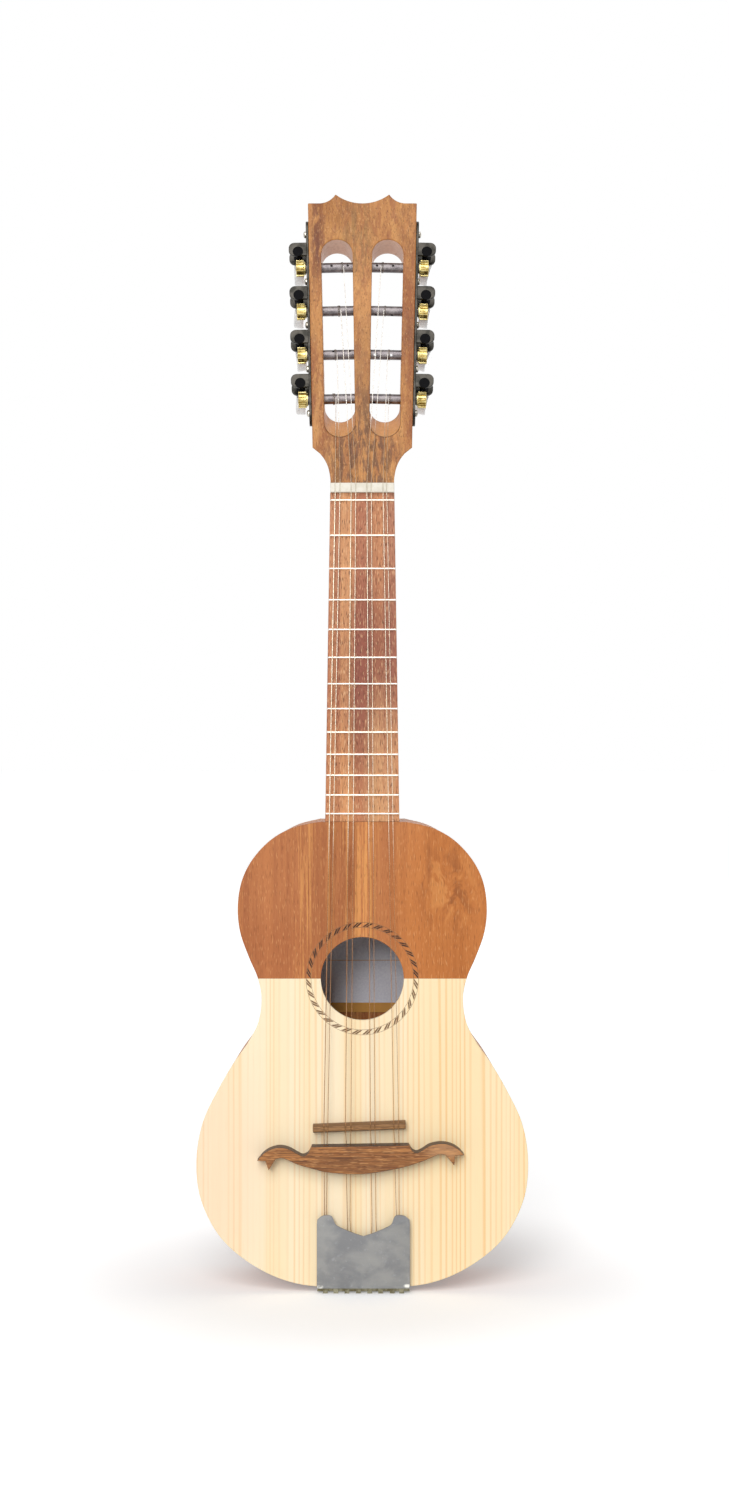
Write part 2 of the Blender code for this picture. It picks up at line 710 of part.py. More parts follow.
def head_outline():
    """The head's outline on its face: shoulders, straight sides, and a crest of two points between hollow arcs."""
    shoulder = [(NUT_HALF_WIDTH, 0.0), (17.7, 4.0), (18.7, 9.0), (20.6, 13.4), (23.0, 16.8)]
    rise = CREST_UP - CORNER_UP
    side_run = VALLEY_HALF_WIDTH - CREST_HALF_WIDTH
    side_radius = (side_run**2 + rise**2) / (2 * rise)
    side_angle = math.degrees(math.asin(side_run / side_radius))
    side_arc = arc((VALLEY_HALF_WIDTH, CORNER_UP + side_radius), side_radius, 270, 270 - side_angle, 5)
    radius = (CREST_HALF_WIDTH**2 + rise**2) / (2 * rise)
    angle = math.degrees(math.asin(CREST_HALF_WIDTH / radius))
    middle_arc = arc((0, CORNER_UP + radius), radius, 270 + angle, 270, 6)
    half = shoulder + [(SHOULDER_HALF_WIDTH, SHOULDER_UP), (CORNER_HALF_WIDTH, CORNER_UP)]
    half += side_arc + middle_arc[1:-1] + [(0.0, CORNER_UP)]
    return mirrored(half)


def slot_cutter(name, side):
    """One string slot: round ends, square through the head at the top, and a ramp at the foot."""
    low = arc(SLOT_LOW[:2], SLOT_LOW[2], 180, 360, 8)
    high = arc(SLOT_HIGH[:2], SLOT_HIGH[2], 0, 180, 8)
    outline = [(side * x, up) for x, up in low + high]
    over = 2.0
    mesh = prism_mesh(outline, "depth", -over, HEAD_THICKNESS + over)
    middle = (SLOT_LOW[1] + SLOT_HIGH[1]) / 2
    for vertex in mesh.vertices:
        if vertex.co.z < middle * MM:
            vertex.co.z += SLOT_RAMP * vertex.co.y / HEAD_THICKNESS
    return place(bpy.data.objects.new(name, mesh), HEAD_FRAME, cutter=True)


def post_frame(side, row):
    """Origin on the post's axis at the head's side; +Z points outwards."""
    spot = Matrix.Translation((0, POST_DEPTH * MM, POST_ROWS[row] * MM))
    return side_frame(side) @ spot @ Matrix.Rotation(side * math.radians(90), 4, "Y")


def key_frame(side, row, turn=0.0):
    """Origin on the worm's axis at the level of the head's face; +Z points to the back."""
    spot = Matrix.Translation((side * WORM_OUT * MM, 0, (POST_ROWS[row] + WORM_RISE) * MM))
    turning = Matrix.Rotation(math.radians(turn), 4, "Z")
    return side_frame(side) @ spot @ Matrix.Rotation(math.radians(-90), 4, "X") @ turning


def make_neck():
    neck = make_neck_shaft()
    head = prism("head_joined", head_outline(), "depth", 0, HEAD_THICKNESS, HEAD_FRAME, edge=0.5, cutter=True)
    for vertex in head.data.vertices:
        if vertex.co.z < (SHOULDER_UP + 1) * MM:
            vertex.co.z += SHOULDER_SLANT * vertex.co.y
    back_room = back_depth(BODY_TOP_Z) - BACK_THICKNESS - GAP
    block = box(
        "neck_block_joined",
        (-NECK_BLOCK_HALF_WIDTH, BOARD_THICKNESS + GAP, NECK_BLOCK_LOW_Z),
        (NECK_BLOCK_HALF_WIDTH, back_room, BODY_TOP_Z - RIB_THICKNESS - 3 * GAP),
        BODY_FRAME,
        cutter=True,
    )
    tenon = box(
        "tenon_joined",
        (-TENON_HALF_WIDTH, BOARD_DEPTH + 2, BODY_TOP_Z - 5),
        (TENON_HALF_WIDTH, back_room - 8, BODY_TOP_Z + 5),
        BODY_FRAME,
        cutter=True,
    )
    join(neck, head, block, tenon)
    hole_radius = POST_RADIUS + GAP
    hole_end = POST_INNER_END - 2 * GAP
    for side_name, side in SIDES.items():
        cut(neck, slot_cutter(f"slot_cutter_{side_name}", side))
        for row in range(len(POST_ROWS)):
            profile = ((0, 2), (hole_radius, 2), (hole_radius, hole_end), (0, hole_end))
            name = f"post_hole_cutter_{side_name}_{row + 1}"
            cut(neck, turned(name, profile, 10, post_frame(side, row), cutter=True))
    return smooth(neck, 35)


def make_fingerboard():
    low, high = BODY_TOP_Z + GAP, NUT_LOW_Z - GAP
    outline = [(board_half_width(low), low), (board_half_width(high), high)]
    outline += [(-x, z) for x, z in reversed(outline)]
    board = prism("fingerboard", outline, "depth", 0, BOARD_DEPTH, BODY_FRAME, "board_wood")
    half = TANG_WIDTH / 2 + GAP
    for number in range(LAST_FRET + 1):
        z = fret_z(number)
        low_corner = (-30, -2, z - half)
        high_corner = (30, TANG_DEPTH + GAP, z + half)
        cut(board, box(f"fret_slot_cutter_{number}", low_corner, high_corner, BODY_FRAME, cutter=True))


def make_frets():
    """Each fret is a half-round crown over a thin tang."""
    for number in range(LAST_FRET + 1):
        z = fret_z(number)
        half, tang = FRET_WIDTH / 2, TANG_WIDTH / 2
        top = -GAP - FRET_HEIGHT
        section = (
            (-GAP, z - half),
            (-GAP - FRET_SHOULDER, z - half * 0.92),
            (top + 0.2, z - half * 0.6),
            (top, z),
            (top + 0.2, z + half * 0.6),
            (-GAP - FRET_SHOULDER, z + half * 0.92),
            (-GAP, z + half),
            (-GAP, z + tang),
            (TANG_DEPTH, z + tang),
            (TANG_DEPTH, z - tang),
            (-GAP, z - tang),
        )
        reach = board_half_width(z) - 0.5
        name = "fret_zero" if number == 0 else f"fret_{number}"
        prism(name, section, "x", -reach, reach, BODY_FRAME, "fret_wire")


def make_nut():
    nut = box(
        "nut",
        (-NUT_HALF_WIDTH, -2.2, NUT_LOW_Z),
        (NUT_HALF_WIDTH, BOARD_DEPTH, NUT_HIGH_Z),
        BODY_FRAME,
        "bone",
        0.3,
    )
    for number, (x, radius) in enumerate(zip(STRING_AT_NUT, STRING_RADII)):
        reach = radius + GAP
        low, high = (x - reach, -5, NUT_LOW_Z - 5), (x + reach, -1.4 + reach, NUT_HIGH_Z + 5)
        cut(nut, box(f"nut_notch_cutter_{number + 1}", low, high, BODY_FRAME, cutter=True))


# Bridges and tailpiece

def make_floating_bridge():
    half = BRIDGE_WIDTH / 2
    section = ((-GAP, half), (-GAP, -half), (-4.2, -half), (-BRIDGE_HEIGHT, -1.2), (-BRIDGE_HEIGHT, 1.2), (-4.2, half))
    spot = Matrix.Translation((BRIDGE_CENTRE[0] * MM, 0, BRIDGE_CENTRE[1] * MM))
    frame = BODY_FRAME @ spot @ Matrix.Rotation(-BRIDGE_TURN, 4, "Y")
    reach = BRIDGE_LENGTH / 2
    bridge = prism("floating_bridge", section, "x", -reach, reach, frame, "bridge_wood", 0.3)
    for number, x in enumerate(STRING_AT_BRIDGE):
        low = (x - NOTCH_WIDTH / 2, -12, BRIDGE_CENTRE[1] - 9)
        high = (x + NOTCH_WIDTH / 2, -NOTCH_FLOOR, BRIDGE_CENTRE[1] + 9)
        cut(bridge, box(f"bridge_notch_cutter_{number + 1}", low, high, BODY_FRAME, cutter=True))


def make_moustache_bridge():
    upper = through(MOUSTACHE_UPPER[:9], 2) + through(MOUSTACHE_UPPER[9:], 2)
    outline = list(reversed(upper + list(MOUSTACHE_LOWER)))
    bridge = prism(
        "moustache_bridge", outline, "depth", -MOUSTACHE_HEIGHT, -GAP, BODY_FRAME, "moustache_wood", 0.4
    )
    for number, x in enumerate(STRING_AT_BRIDGE):
        x_here = (x + STRING_AT_TAIL[number]) / 2
        profile = ((0, 95), (STRING_HOLE_RADIUS, 95), (STRING_HOLE_RADIUS, 50), (0, 50))
        frame = BODY_FRAME @ Matrix.Translation((x_here * MM, STRING_HOLE_DEPTH * MM, 0))
        cut(bridge, turned(f"string_hole_cutter_{number + 1}", profile, 8, frame, cutter=True))
    smooth(bridge)


def make_tailpiece_cover():
    """A flat front with an M-shaped edge, and a side folded down to the soundboard at each end."""
    side = COVER_HALF_WIDTH
    half = [(side, COVER_LOW_Z), (side, COVER_SIDE_TOP_Z)] + through(COVER_EDGE, 2)
    outline = [(x + COVER_CENTRE_X, z) for x, z in mirrored(half)]
    front, back = COVER_FRONT, COVER_FRONT + SHEET
    cover = prism("tailpiece_cover", outline, "depth", front, back, BODY_FRAME, "tail_steel", 0.2)
    for name, x in (("left", COVER_CENTRE_X - side), ("right", COVER_CENTRE_X + side - SHEET)):
        low, high = (x, front + SHEET / 2, COVER_LOW_Z + 0.5), (x + SHEET, -GAP, COVER_SIDE_TOP_Z - 1)
        join(cover, box(f"cover_{name}_joined", low, high, BODY_FRAME, cutter=True))


def make_hook_plate():
    """A leaf on the soundboard and a flange under the tail, bent from one sheet, with hooks cut out at the fold."""
    left, right = COVER_CENTRE_X - LEAF_HALF_WIDTH, COVER_CENTRE_X + LEAF_HALF_WIDTH
    leaf_front = -GAP - SHEET
    flange_low, flange_high = TAIL_Z - GAP - SHEET, TAIL_Z - GAP
    section = (
        (leaf_front, LEAF_TOP_Z),
        (leaf_front, flange_low),
        (LIP_BACK, flange_low),
        (LIP_BACK, flange_high),
        (-GAP, flange_high),
        (-GAP, LEAF_TOP_Z),
    )
    plate = prism("tailpiece_hook_plate", section, "x", left, right, BODY_FRAME, "tail_steel")
    low = (COVER_CENTRE_X - LIP_HALF_WIDTH, LIP_FRONT, LIP_LOW_Z)
    high = (COVER_CENTRE_X + LIP_HALF_WIDTH, LIP_BACK, flange_high)
    join(plate, box("lip_joined", low, high, BODY_FRAME, edge=0.2, cutter=True))
    half = [(FLANGE_HALF_WIDTH, FLANGE_FROM), (FLANGE_HALF_WIDTH, FLANGE_CORNER)]
    half.append((FLANGE_END_HALF_WIDTH, FLANGE_END))
    outline = mirrored(half)
    flange = prism("flange_joined", outline, "z", flange_low, flange_high, BODY_FRAME, cutter=True)
    join(plate, flange)
    for number, x in enumerate(HOOK_X):
        low, high = x - HOOK_WIDTH / 2, x + HOOK_WIDTH / 2
        join(plate, prism(f"hook_{number + 1}_joined", HOOK_PROFILE, "x", low, high, BODY_FRAME, cutter=True))
    for number, (x, depth) in enumerate(FLANGE_SCREWS):
        frame = BODY_FRAME @ Matrix.Translation((x * MM, depth * MM, 0))
        name = f"flange_screw_{number + 1}_joined"
        join(plate, turned(name, FLANGE_SCREW_DOME, 12, frame, cutter=True))


# Strings

def string_x_between(number, z):
    """The x of a string where it runs straight from the bridge to the nut."""
    share = (z - BRIDGE_CENTRE[1]) / (NUT_HIGH_Z - BRIDGE_CENTRE[1])
    return STRING_AT_BRIDGE[number] + (STRING_AT_NUT[number] - STRING_AT_BRIDGE[number]) * share


def make_string(number):
    radius = STRING_RADII[number]
    tail, bridge, nut = STRING_AT_TAIL[number], STRING_AT_BRIDGE[number], STRING_AT_NUT[number]
    over_fret = -(GAP + FRET_HEIGHT + GAP + radius)
    route = [
        (HOOK_X[number], -2.1, 7.2),
        (HOOK_X[number] * 0.5 + tail * 0.5, -2.3, 16.0),
        (tail, -2.9, 40.0),
        ((bridge + tail) / 2, -4.2, MOUSTACHE_LOW_HOLE_Z),
        ((bridge + tail) / 2, -4.6, MOUSTACHE_HIGH_HOLE_Z),
        (bridge, -6.35, BRIDGE_CENTRE[1]),
        (string_x_between(number, 260.0), -4.2, 260.0),
        (string_x_between(number, ZERO_FRET_Z), over_fret, ZERO_FRET_Z),
        (nut, -1.4, NUT_LOW_Z + 1.0),
        (nut, -1.4, NUT_HIGH_Z),
    ]
    points = [BODY_FRAME @ (Vector(point) * MM) for point in route]
    row = STRING_ROW[number]
    at_post = Vector((STRING_AT_POST[number], POST_DEPTH - POST_RADIUS - GAP - radius, POST_ROWS[row]))
    if row == 3:
        edge_x = nut + (at_post.x - nut) * 0.5
        points.append(HEAD_FRAME @ (Vector((edge_x, -radius - GAP, 26.0)) * MM))
    points.append(HEAD_FRAME @ (at_post * MM))
    curve = bpy.data.curves.new(f"string_{number + 1}", "CURVE")
    curve.dimensions = "3D"
    curve.bevel_depth = radius * MM
    curve.bevel_resolution = 1
    curve.use_fill_caps = True
    spline = curve.splines.new("POLY")
    spline.points.add(len(points) - 1)
    for spot, point in zip(spline.points, points):
        spot.co = (*point, 1)
    place(bpy.data.objects.new(curve.name, curve), Matrix.Identity(4), "string_steel")


# Tuners

def tuner_plate(side_name):
    """The side plate of one edge, with two lugs for each worm and round screw heads, as one bent and riveted piece.

    It is made for the right edge, and mirrored for the left one.
    """
    low, high = PLATE_SPAN
    front, back = PLATE_DEPTHS
    middle = (front + back) / 2
    end_radius = (back - front) / 2
    outline = arc((middle, high - end_radius), end_radius, 0, 180, 6)
    outline += arc((middle, low + end_radius), end_radius, 180, 360, 6)
    plate = prism("tuner_plate", outline, "x", PLATE_FROM, PLATE_TO, Matrix.Identity(4), "plate_steel")
    helpers = [plate]
    for row in POST_ROWS:
        middle_up = row + WORM_RISE + LUG_LIFT
        for near, far in (FRONT_LUG, REAR_LUG):
            corner = LUG_OUT - LUG_CORNER
            height = LUG_HALF_HEIGHT - LUG_CORNER
            lug = [(PLATE_TO - 0.4, middle_up - LUG_HALF_HEIGHT)]
            lug += arc((corner, middle_up - height), LUG_CORNER, 270, 360, 3)
            lug += arc((corner, middle_up + height), LUG_CORNER, 0, 90, 3)
            lug += [(PLATE_TO - 0.4, middle_up + LUG_HALF_HEIGHT)]
            helpers.append(prism("lug_joined", lug, "depth", near, far, Matrix.Identity(4), cutter=True))
            join(plate, helpers[-1])
    for up in SCREW_ROWS:
        frame = Matrix.Translation((0, middle * MM, up * MM)) @ Matrix.Rotation(math.radians(90), 4, "Y")
        helpers.append(turned("screw_joined", SCREW_DOME, 8, frame, cutter=True))
        join(plate, helpers[-1])
    for row in POST_ROWS:
        post_radius, journal, shaft = POST_RADIUS + GAP, JOURNAL_RADIUS + GAP, SHAFT_RADIUS + GAP
        axis = Matrix.Translation((0, POST_DEPTH * MM, row * MM)) @ Matrix.Rotation(math.radians(90), 4, "Y")
        helpers.append(
            turned("post_hole", ((0, 4), (post_radius, 4), (post_radius, -2), (0, -2)), 12, axis, cutter=True)
        )
        cut(plate, helpers[-1])
        axis = Matrix.Translation((WORM_OUT * MM, 0, (row + WORM_RISE) * MM))
        axis = axis @ Matrix.Rotation(math.radians(-90), 4, "X")
        bore = ((0, 16), (shaft, 16), (shaft, 8), (journal, 8), (journal, -2), (0, -2))
        helpers.append(turned("worm_bore", bore, 12, axis, cutter=True))
        cut(plate, helpers[-1])
    mesh = evaluated_mesh(plate)
    for helper in helpers:
        bpy.data.objects.remove(helper)
    if side_name == "left":
        mesh.transform(Matrix.Scale(-1, 4, (1, 0, 0)))
        mesh.flip_normals()
    name = f"tuner_plate_{side_name}"
    smooth(place(bpy.data.objects.new(name, mesh), side_frame(SIDES[side_name]), "plate_steel"))


def gear_outline():
    """A small worm gear seen along its axis, with straight-sided teeth."""
    outline = []
    pitch = 2 * math.pi / GEAR_TEETH
    for tooth in range(GEAR_TEETH):
        for share, radius in (
            (-0.32, GEAR_ROOT_RADIUS),
            (-0.16, GEAR_TIP_RADIUS),
            (0.16, GEAR_TIP_RADIUS),
            (0.32, GEAR_ROOT_RADIUS),
        ):
            angle = (tooth + share) * pitch
            outline.append((radius * math.cos(angle), radius * math.sin(angle)))
    return outline


def post_mesh():
    """A roller with its worm gear fixed on the outer end by a small screw."""
    profile = (
        (0, GEAR_TO + 0.6),
        (GEAR_SCREW_RADIUS, GEAR_TO + 0.4),
        (GEAR_SCREW_RADIUS, GEAR_FROM + 1.0),
        (3.0, GEAR_FROM + 1.0),
        (3.0, PLATE_TO + GAP),
        (POST_RADIUS, PLATE_TO + GAP),
        (POST_RADIUS, POST_INNER_END),
        (0, POST_INNER_END),
    )
    post = turned("post", profile, 12, Matrix.Identity(4), "post_steel")
    gear = prism("gear_joined", gear_outline(), "z", GEAR_FROM, GEAR_TO, Matrix.Identity(4), cutter=True)
    mesh = evaluated_mesh(join(post, gear))
    bpy.data.objects.remove(post)
    bpy.data.objects.remove(gear)
    return mesh


def key_mesh():
    """A worm between two journals, and behind the rear lug its shaft with a flat oval button."""
    worm_from, worm_to = FRONT_LUG[1] + GAP, REAR_LUG[0] - GAP
    root = WORM_RADIUS - 0.8
    profile = [(0, BUTTON_CENTRE), (SHAFT_RADIUS, BUTTON_CENTRE), (SHAFT_RADIUS, worm_to), (root, worm_to)]
    pitch = (worm_to - worm_from) / (WORM_RIDGES + 1)
    for ridge in range(WORM_RIDGES, 0, -1):
        middle = worm_from + ridge * pitch
        profile += [(root, middle + 1.0), (WORM_RADIUS, middle + 0.3), (WORM_RADIUS, middle - 0.3)]
        profile += [(root, middle - 1.0)]
    front = FRONT_LUG[0] - GAP
    profile += [(root, worm_from), (JOURNAL_RADIUS, worm_from), (JOURNAL_RADIUS, front), (0, front)]
    key = turned("key", profile, 8, Matrix.Identity(4), "pearl")
    half_thickness, half_height, half_depth = BUTTON_HALF_SIZES
    oval = [(a * half_height, BUTTON_CENTRE + b * half_depth) for a, b in arc((0, 0), 1, 0, 360, 16)[:-1]]
    tablet = (-half_thickness, half_thickness, Matrix.Identity(4))
    button = prism("button_joined", oval, "x", *tablet, edge=BUTTON_CHAMFER, cutter=True)
    mesh = evaluated_mesh(join(key, button))
    bpy.data.objects.remove(key)
    bpy.data.objects.remove(button)
    return mesh


def make_tuners():
    posts, keys = post_mesh(), key_mesh()
    for side_name, side in SIDES.items():
        tuner_plate(side_name)
        for row in range(len(POST_ROWS)):
            post = bpy.data.objects.new(f"tuner_post_{side_name}_{row + 1}", posts)
            smooth(place(post, post_frame(side, row), "post_steel"), 30)
            turn = BUTTON_TURNS[side_name][row]
            key = bpy.data.objects.new(f"tuner_key_{side_name}_{row + 1}", keys)
            smooth(place(key, key_frame(side, row, turn), "pearl"), 30)


make_soundboards()
make_rosette()
make_back()
make_ribs()
make_linings()
make_tail_block()
make_braces()
make_neck()
make_fingerboard()
make_frets()
make_nut()
make_floating_bridge()
make_moustache_bridge()
make_tailpiece_cover()
make_hook_plate()
for string_number in range(len(STRING_RADII)):
    make_string(string_number)
make_tuners()
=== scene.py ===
"""The looks of a cavaquinho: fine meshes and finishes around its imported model.

Shapes are built in millimetres as (x, depth, z). Depth is 0 at the front of the soundboard and grows to the
back, and z is up the instrument. On the head, which tilts back, z runs up the head's face from the nut.
"""

import math

import bmesh
import bpy
from mathutils import Matrix, Vector


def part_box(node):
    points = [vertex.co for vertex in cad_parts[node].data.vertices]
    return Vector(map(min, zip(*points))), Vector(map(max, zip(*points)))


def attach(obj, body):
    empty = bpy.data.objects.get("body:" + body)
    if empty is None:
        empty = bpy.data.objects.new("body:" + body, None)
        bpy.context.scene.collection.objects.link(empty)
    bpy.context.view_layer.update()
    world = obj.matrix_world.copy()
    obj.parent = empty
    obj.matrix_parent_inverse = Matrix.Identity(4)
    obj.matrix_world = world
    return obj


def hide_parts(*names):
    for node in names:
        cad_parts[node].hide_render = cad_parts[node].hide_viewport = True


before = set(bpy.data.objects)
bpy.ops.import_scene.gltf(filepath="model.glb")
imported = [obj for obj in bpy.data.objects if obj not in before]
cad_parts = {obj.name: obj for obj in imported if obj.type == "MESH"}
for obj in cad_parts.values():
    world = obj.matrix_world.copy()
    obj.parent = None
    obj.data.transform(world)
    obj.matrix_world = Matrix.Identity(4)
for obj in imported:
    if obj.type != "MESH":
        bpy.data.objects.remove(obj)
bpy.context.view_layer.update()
MM = 0.001
PHOTO_DISTANCE = 1.2  # from the camera to the soundboard, in metres
PHOTO_HEIGHT, PHOTO_PIXEL = 1500, 0.54244  # pixels, and the millimetres that one shows of the soundboard
CAMERA_X, CAMERA_Z = 0.0012, 0.2942
ROOT = "instrument"

# Light
WHITE = (1, 1, 1, 1)
LAMP_AIM = (0, 0, 0.3)
SKY_LIGHT = 0.32
KEY_SUN = ((-0.35, -2.2, 2.2), 1.17, 34)  # place, strength, and angle in degrees
FRONT_PANEL = ((-0.55, -2.3, 0.85), (0.7, 0.7), 17)  # place, size and watts
BACK_PANEL = ((0.9, 2.8, 1.9), (3, 3), 14)
FLOOR_HALF_SIZE = 30
FLOOR_PAINT = (0.9, 0.9, 0.9, 1)
FLOOR_GLOW = (0.26, 0.5)  # added to the floor's colour where it is seen, at the instrument and far from it; the lower one paints shade at the foot
PAINTED_SHADE_REACH = (0.08, 0.22)  # distances from the instrument's foot between which it rises, out of its painted shade

# Body
BOARD_THICKNESS = 2.5
BACK_THICKNESS = 2.5
RIB_THICKNESS = 2.0
TAIL_Z = 3.1
BODY_TOP_Z = 255.2
RIB_ENDS_X = (12.0, 18.0)  # the ribs run in along the body's top as far as the neck's tenon
EDGE_STEPS = 7
DEPTH_AT_TAIL = 66.0
DEPTH_AT_NECK = 60.0
BACK_INSET = 1.5
LEAN_FADE = 8.0
SEAM_Z = 170.2
HOLE_RADIUS = 22.5
ROSETTE_INNER, ROSETTE_OUTER = 27.7, 30.65
ROPE_MARKS = 32
ROPE_LEAN, ROPE_MARK = 5.6, (0.35, 2.9)  # degrees: a mark's slant, and its ends either side of a middle
ROPE_MARGIN = 0.35
GROWTH_SPACING = 3.2  # between the spruce's growth lines
LABEL_BAND_TOP, LABEL_RULE = 0.1504, (0.1743, 0.1748)  # heights of the label's ochre print, in metres
TOUCH = 0.02  # left between pieces that touch
GRAIN_ALONG = "along_rib"  # the mesh attribute that the ribs' grain follows

# Neck and fingerboard
NUT_HALF_WIDTH = 17.35
JOINT_HALF_WIDTH = 20.15
BOARD_DEPTH = 5.0
NUT_LOW_Z, NUT_HIGH_Z = 433.8, 439.0
NUT_SLACK = 0.14  # between a string and its groove's sides
ZERO_FRET_Z = 429.7
SCALE_LENGTH = 340.0
LAST_FRET = 12
FRET_WIDTH, FRET_HEIGHT = 1.25, 1.2
NECK_DEPTH_AT_NUT, NECK_DEPTH_AT_HEEL = 20.2, 21.5
HEEL_RADIUS = 26.0
HEEL_NOSE_Z, HEEL_CAP_Z, HEEL_FOOT_Z = 267.0, 264.0, 261.5
HEEL_CAP_SLANT = 2.4
NECK_RINGS_Z = (448, 441, *range(425, 304, -15))  # heights of the shaft's sections above the heel
NUT_HEIGHT = 2.2

# Head
HEAD_FOOT_Z, HEAD_FACE_DEPTH = 439.4, 3.0
HEAD_TILT = math.radians(13.0)
HEAD_THICKNESS = 18.0
SHOULDER_HALF_WIDTH, SHOULDER_UP, SHOULDER_SLANT = 27.18, 20.35, 0.4
SHOULDER_EDGE = ((17.7, 4.0), (18.7, 9.0), (20.6, 13.4), (23.0, 16.8))  # (x, z) from nut to shoulder
SHOULDER_TAPER = 0.42  # share by which the head's foot is narrower at the back
CORNER_HALF_WIDTH, CORNER_UP = 30.56, 165.7
CREST_HALF_WIDTH, CREST_UP, VALLEY_HALF_WIDTH = 15.1, 171.2, 24.4
SLOT_LOW = (12.35, 34.8, 8.4)  # centre x, centre up the head, radius
SLOT_HIGH = (14.2, 134.95, 8.75)
SLOT_RAMP = 15.7
SLOTS_REACH, SLOTS_FROM, SLOTS_TO = 23.6, 25.0, 146.0  # a box round both slots, where cut wood shows
SHADE_LINE_TO, SHADE_LINE_DEPTHS = 48.0, (0.08, 0.6)  # the painted shade line along the edge of the slots' feet
ROSY_WALLS = (60.0, 120.0)  # heights between which the slots' walls turn from tan to rosy

# Tuners
POST_ROWS = (129.5, 103.4, 77.3, 51.2)
POST_DEPTH, POST_RADIUS = 7.2, 2.75
POST_INNER_END = -26.3
POST_SLACK = 0.25  # round a post in its hole
COLLAR_RADIUS = 2.9  # of the post between its plate and its gear
POST_TURNS = (0, 80, 25, 70)  # degrees, how each row's rollers stand
STRING_HOLES_OUT, STRING_HOLE_RADIUS = (-12.5, -21.5), 0.75
GEAR_TEETH = 14
GEAR_TIP, GEAR_ROOT = 4.6, 3.7
GEAR_FROM, GEAR_TO = 2.9, 7.3
GEAR_COLLAR_FROM = 1.9
GEAR_SCREW_RADIUS, GEAR_SCREW_HEIGHT = 1.7, 0.6
WORM_RISE, WORM_OUT = 7.4, 6.1
WORM_TIP, WORM_ROOT, WORM_PITCH = 2.5, 1.75, 2.1
JOURNAL_RADIUS, SHAFT_RADIUS = 2.9, 1.6
FRONT_LUG, REAR_LUG = (0.8, 2.6), (12.4, 14.0)
LUG_OUT, LUG_HALF_HEIGHT, LUG_LIFT, LUG_CORNER = 11.2, 3.9, 1.5, 3.2
PLATE_FROM, PLATE_TO = 0.3, 1.5
PLATE_DEPTHS, PLATE_SPAN = (1.4, 13.4), (36.0, 157.5)
SCREW_ROWS = (150.0, 121.5, 95.4, 69.3, 43.2)
PLATE_SCREW_RADIUS, PLATE_SCREW_HEIGHT = 1.9, 1.5
BUTTON_CENTRE = 29.0
BUTTON_HALF_SIZES = (2.8, 6.5, 7.3)
BUTTON_TURNS = {"left": (0, 9, -7, 5), "right": (16, 10, 22, 14)}

# Bridges and tailpiece
BRIDGE_CENTRE = (-1.63, 90.4)
BRIDGE_LENGTH, BRIDGE_WIDTH, BRIDGE_HEIGHT = 50.2, 4.4, 6.8
BRIDGE_SHOULDER, BRIDGE_TOP_HALF_WIDTH = 4.2, 1.3
BRIDGE_SLACK = 0.15
BRIDGE_TURN = math.radians(2.3)
MOUSTACHE_HEIGHT = 8.3
MOUSTACHE_LOW_HOLE_Z, MOUSTACHE_HIGH_HOLE_Z = 67.5, 81.5
MOUSTACHE_HOLE_RADIUS, MOUSTACHE_HOLE_DEPTH = 0.8, -4.4
COVER_FRONT, SHEET = -4.6, 1.0
COVER_CENTRE_X, COVER_HALF_WIDTH = 0.6, 25.2
COVER_LOW_Z, COVER_SIDE_TOP_Z = 3.2, 38.0

# Strings, from the left of the photo
STRING_RADII = (0.24, 0.18, 0.21, 0.16, 0.18, 0.14, 0.16, 0.13)
HOOK_X = (-20.0, -14.3, -8.3, -2.1, 4.0, 9.9, 16.2, 21.3)
STRING_AT_TAIL = (-20.5, -19.4, -8.1, -6.7, 5.3, 7.4, 18.5, 20.1)
STRING_AT_BRIDGE = (-20.7, -18.6, -9.1, -6.1, 4.4, 6.8, 17.0, 19.6)
STRING_AT_NUT = (-14.6, -12.0, -6.0, -3.5, 2.5, 4.9, 11.2, 13.2)
STRING_AT_POST = (-14.5, -14.0, -12.0, -10.5, 10.5, 12.0, 14.0, 14.5)
STRING_ROW = (3, 2, 1, 0, 0, 1, 2, 3)
STRING_OVER_BRIDGE, STRING_OVER_NUT = -6.35, -1.6  # depths of the strings' middles
STRING_OVER_BOARD_END = (-4.2, 260.0)  # depth and z
WINDING_TURNS, WINDING_STEPS = 2.5, 20  # turns, and steps in each

# Right edge of the body, from the neck joint down to the middle of the tail, as (x, z)
BODY_EDGE = (
    (24.0, 255.2),
    (36.0, 252.6),
    (45.0, 248.6),
    (52.5, 243.0),
    (60.5, 233.5),
    (65.6, 222.6),
    (67.6, 209.0),
    (66.3, 195.5),
    (61.4, 181.5),
    (56.9, 171.0),
    (54.7, 160.0),
    (56.4, 146.7),
    (61.8, 135.8),
    (69.4, 125.0),
    (78.9, 108.7),
    (86.5, 92.4),
    (89.9, 74.0),
    (88.7, 54.4),
    (82.9, 39.0),
    (74.9, 27.3),
    (62.1, 16.5),
    (46.5, 8.1),
    (29.3, 3.6),
    (0.0, 3.1),
)

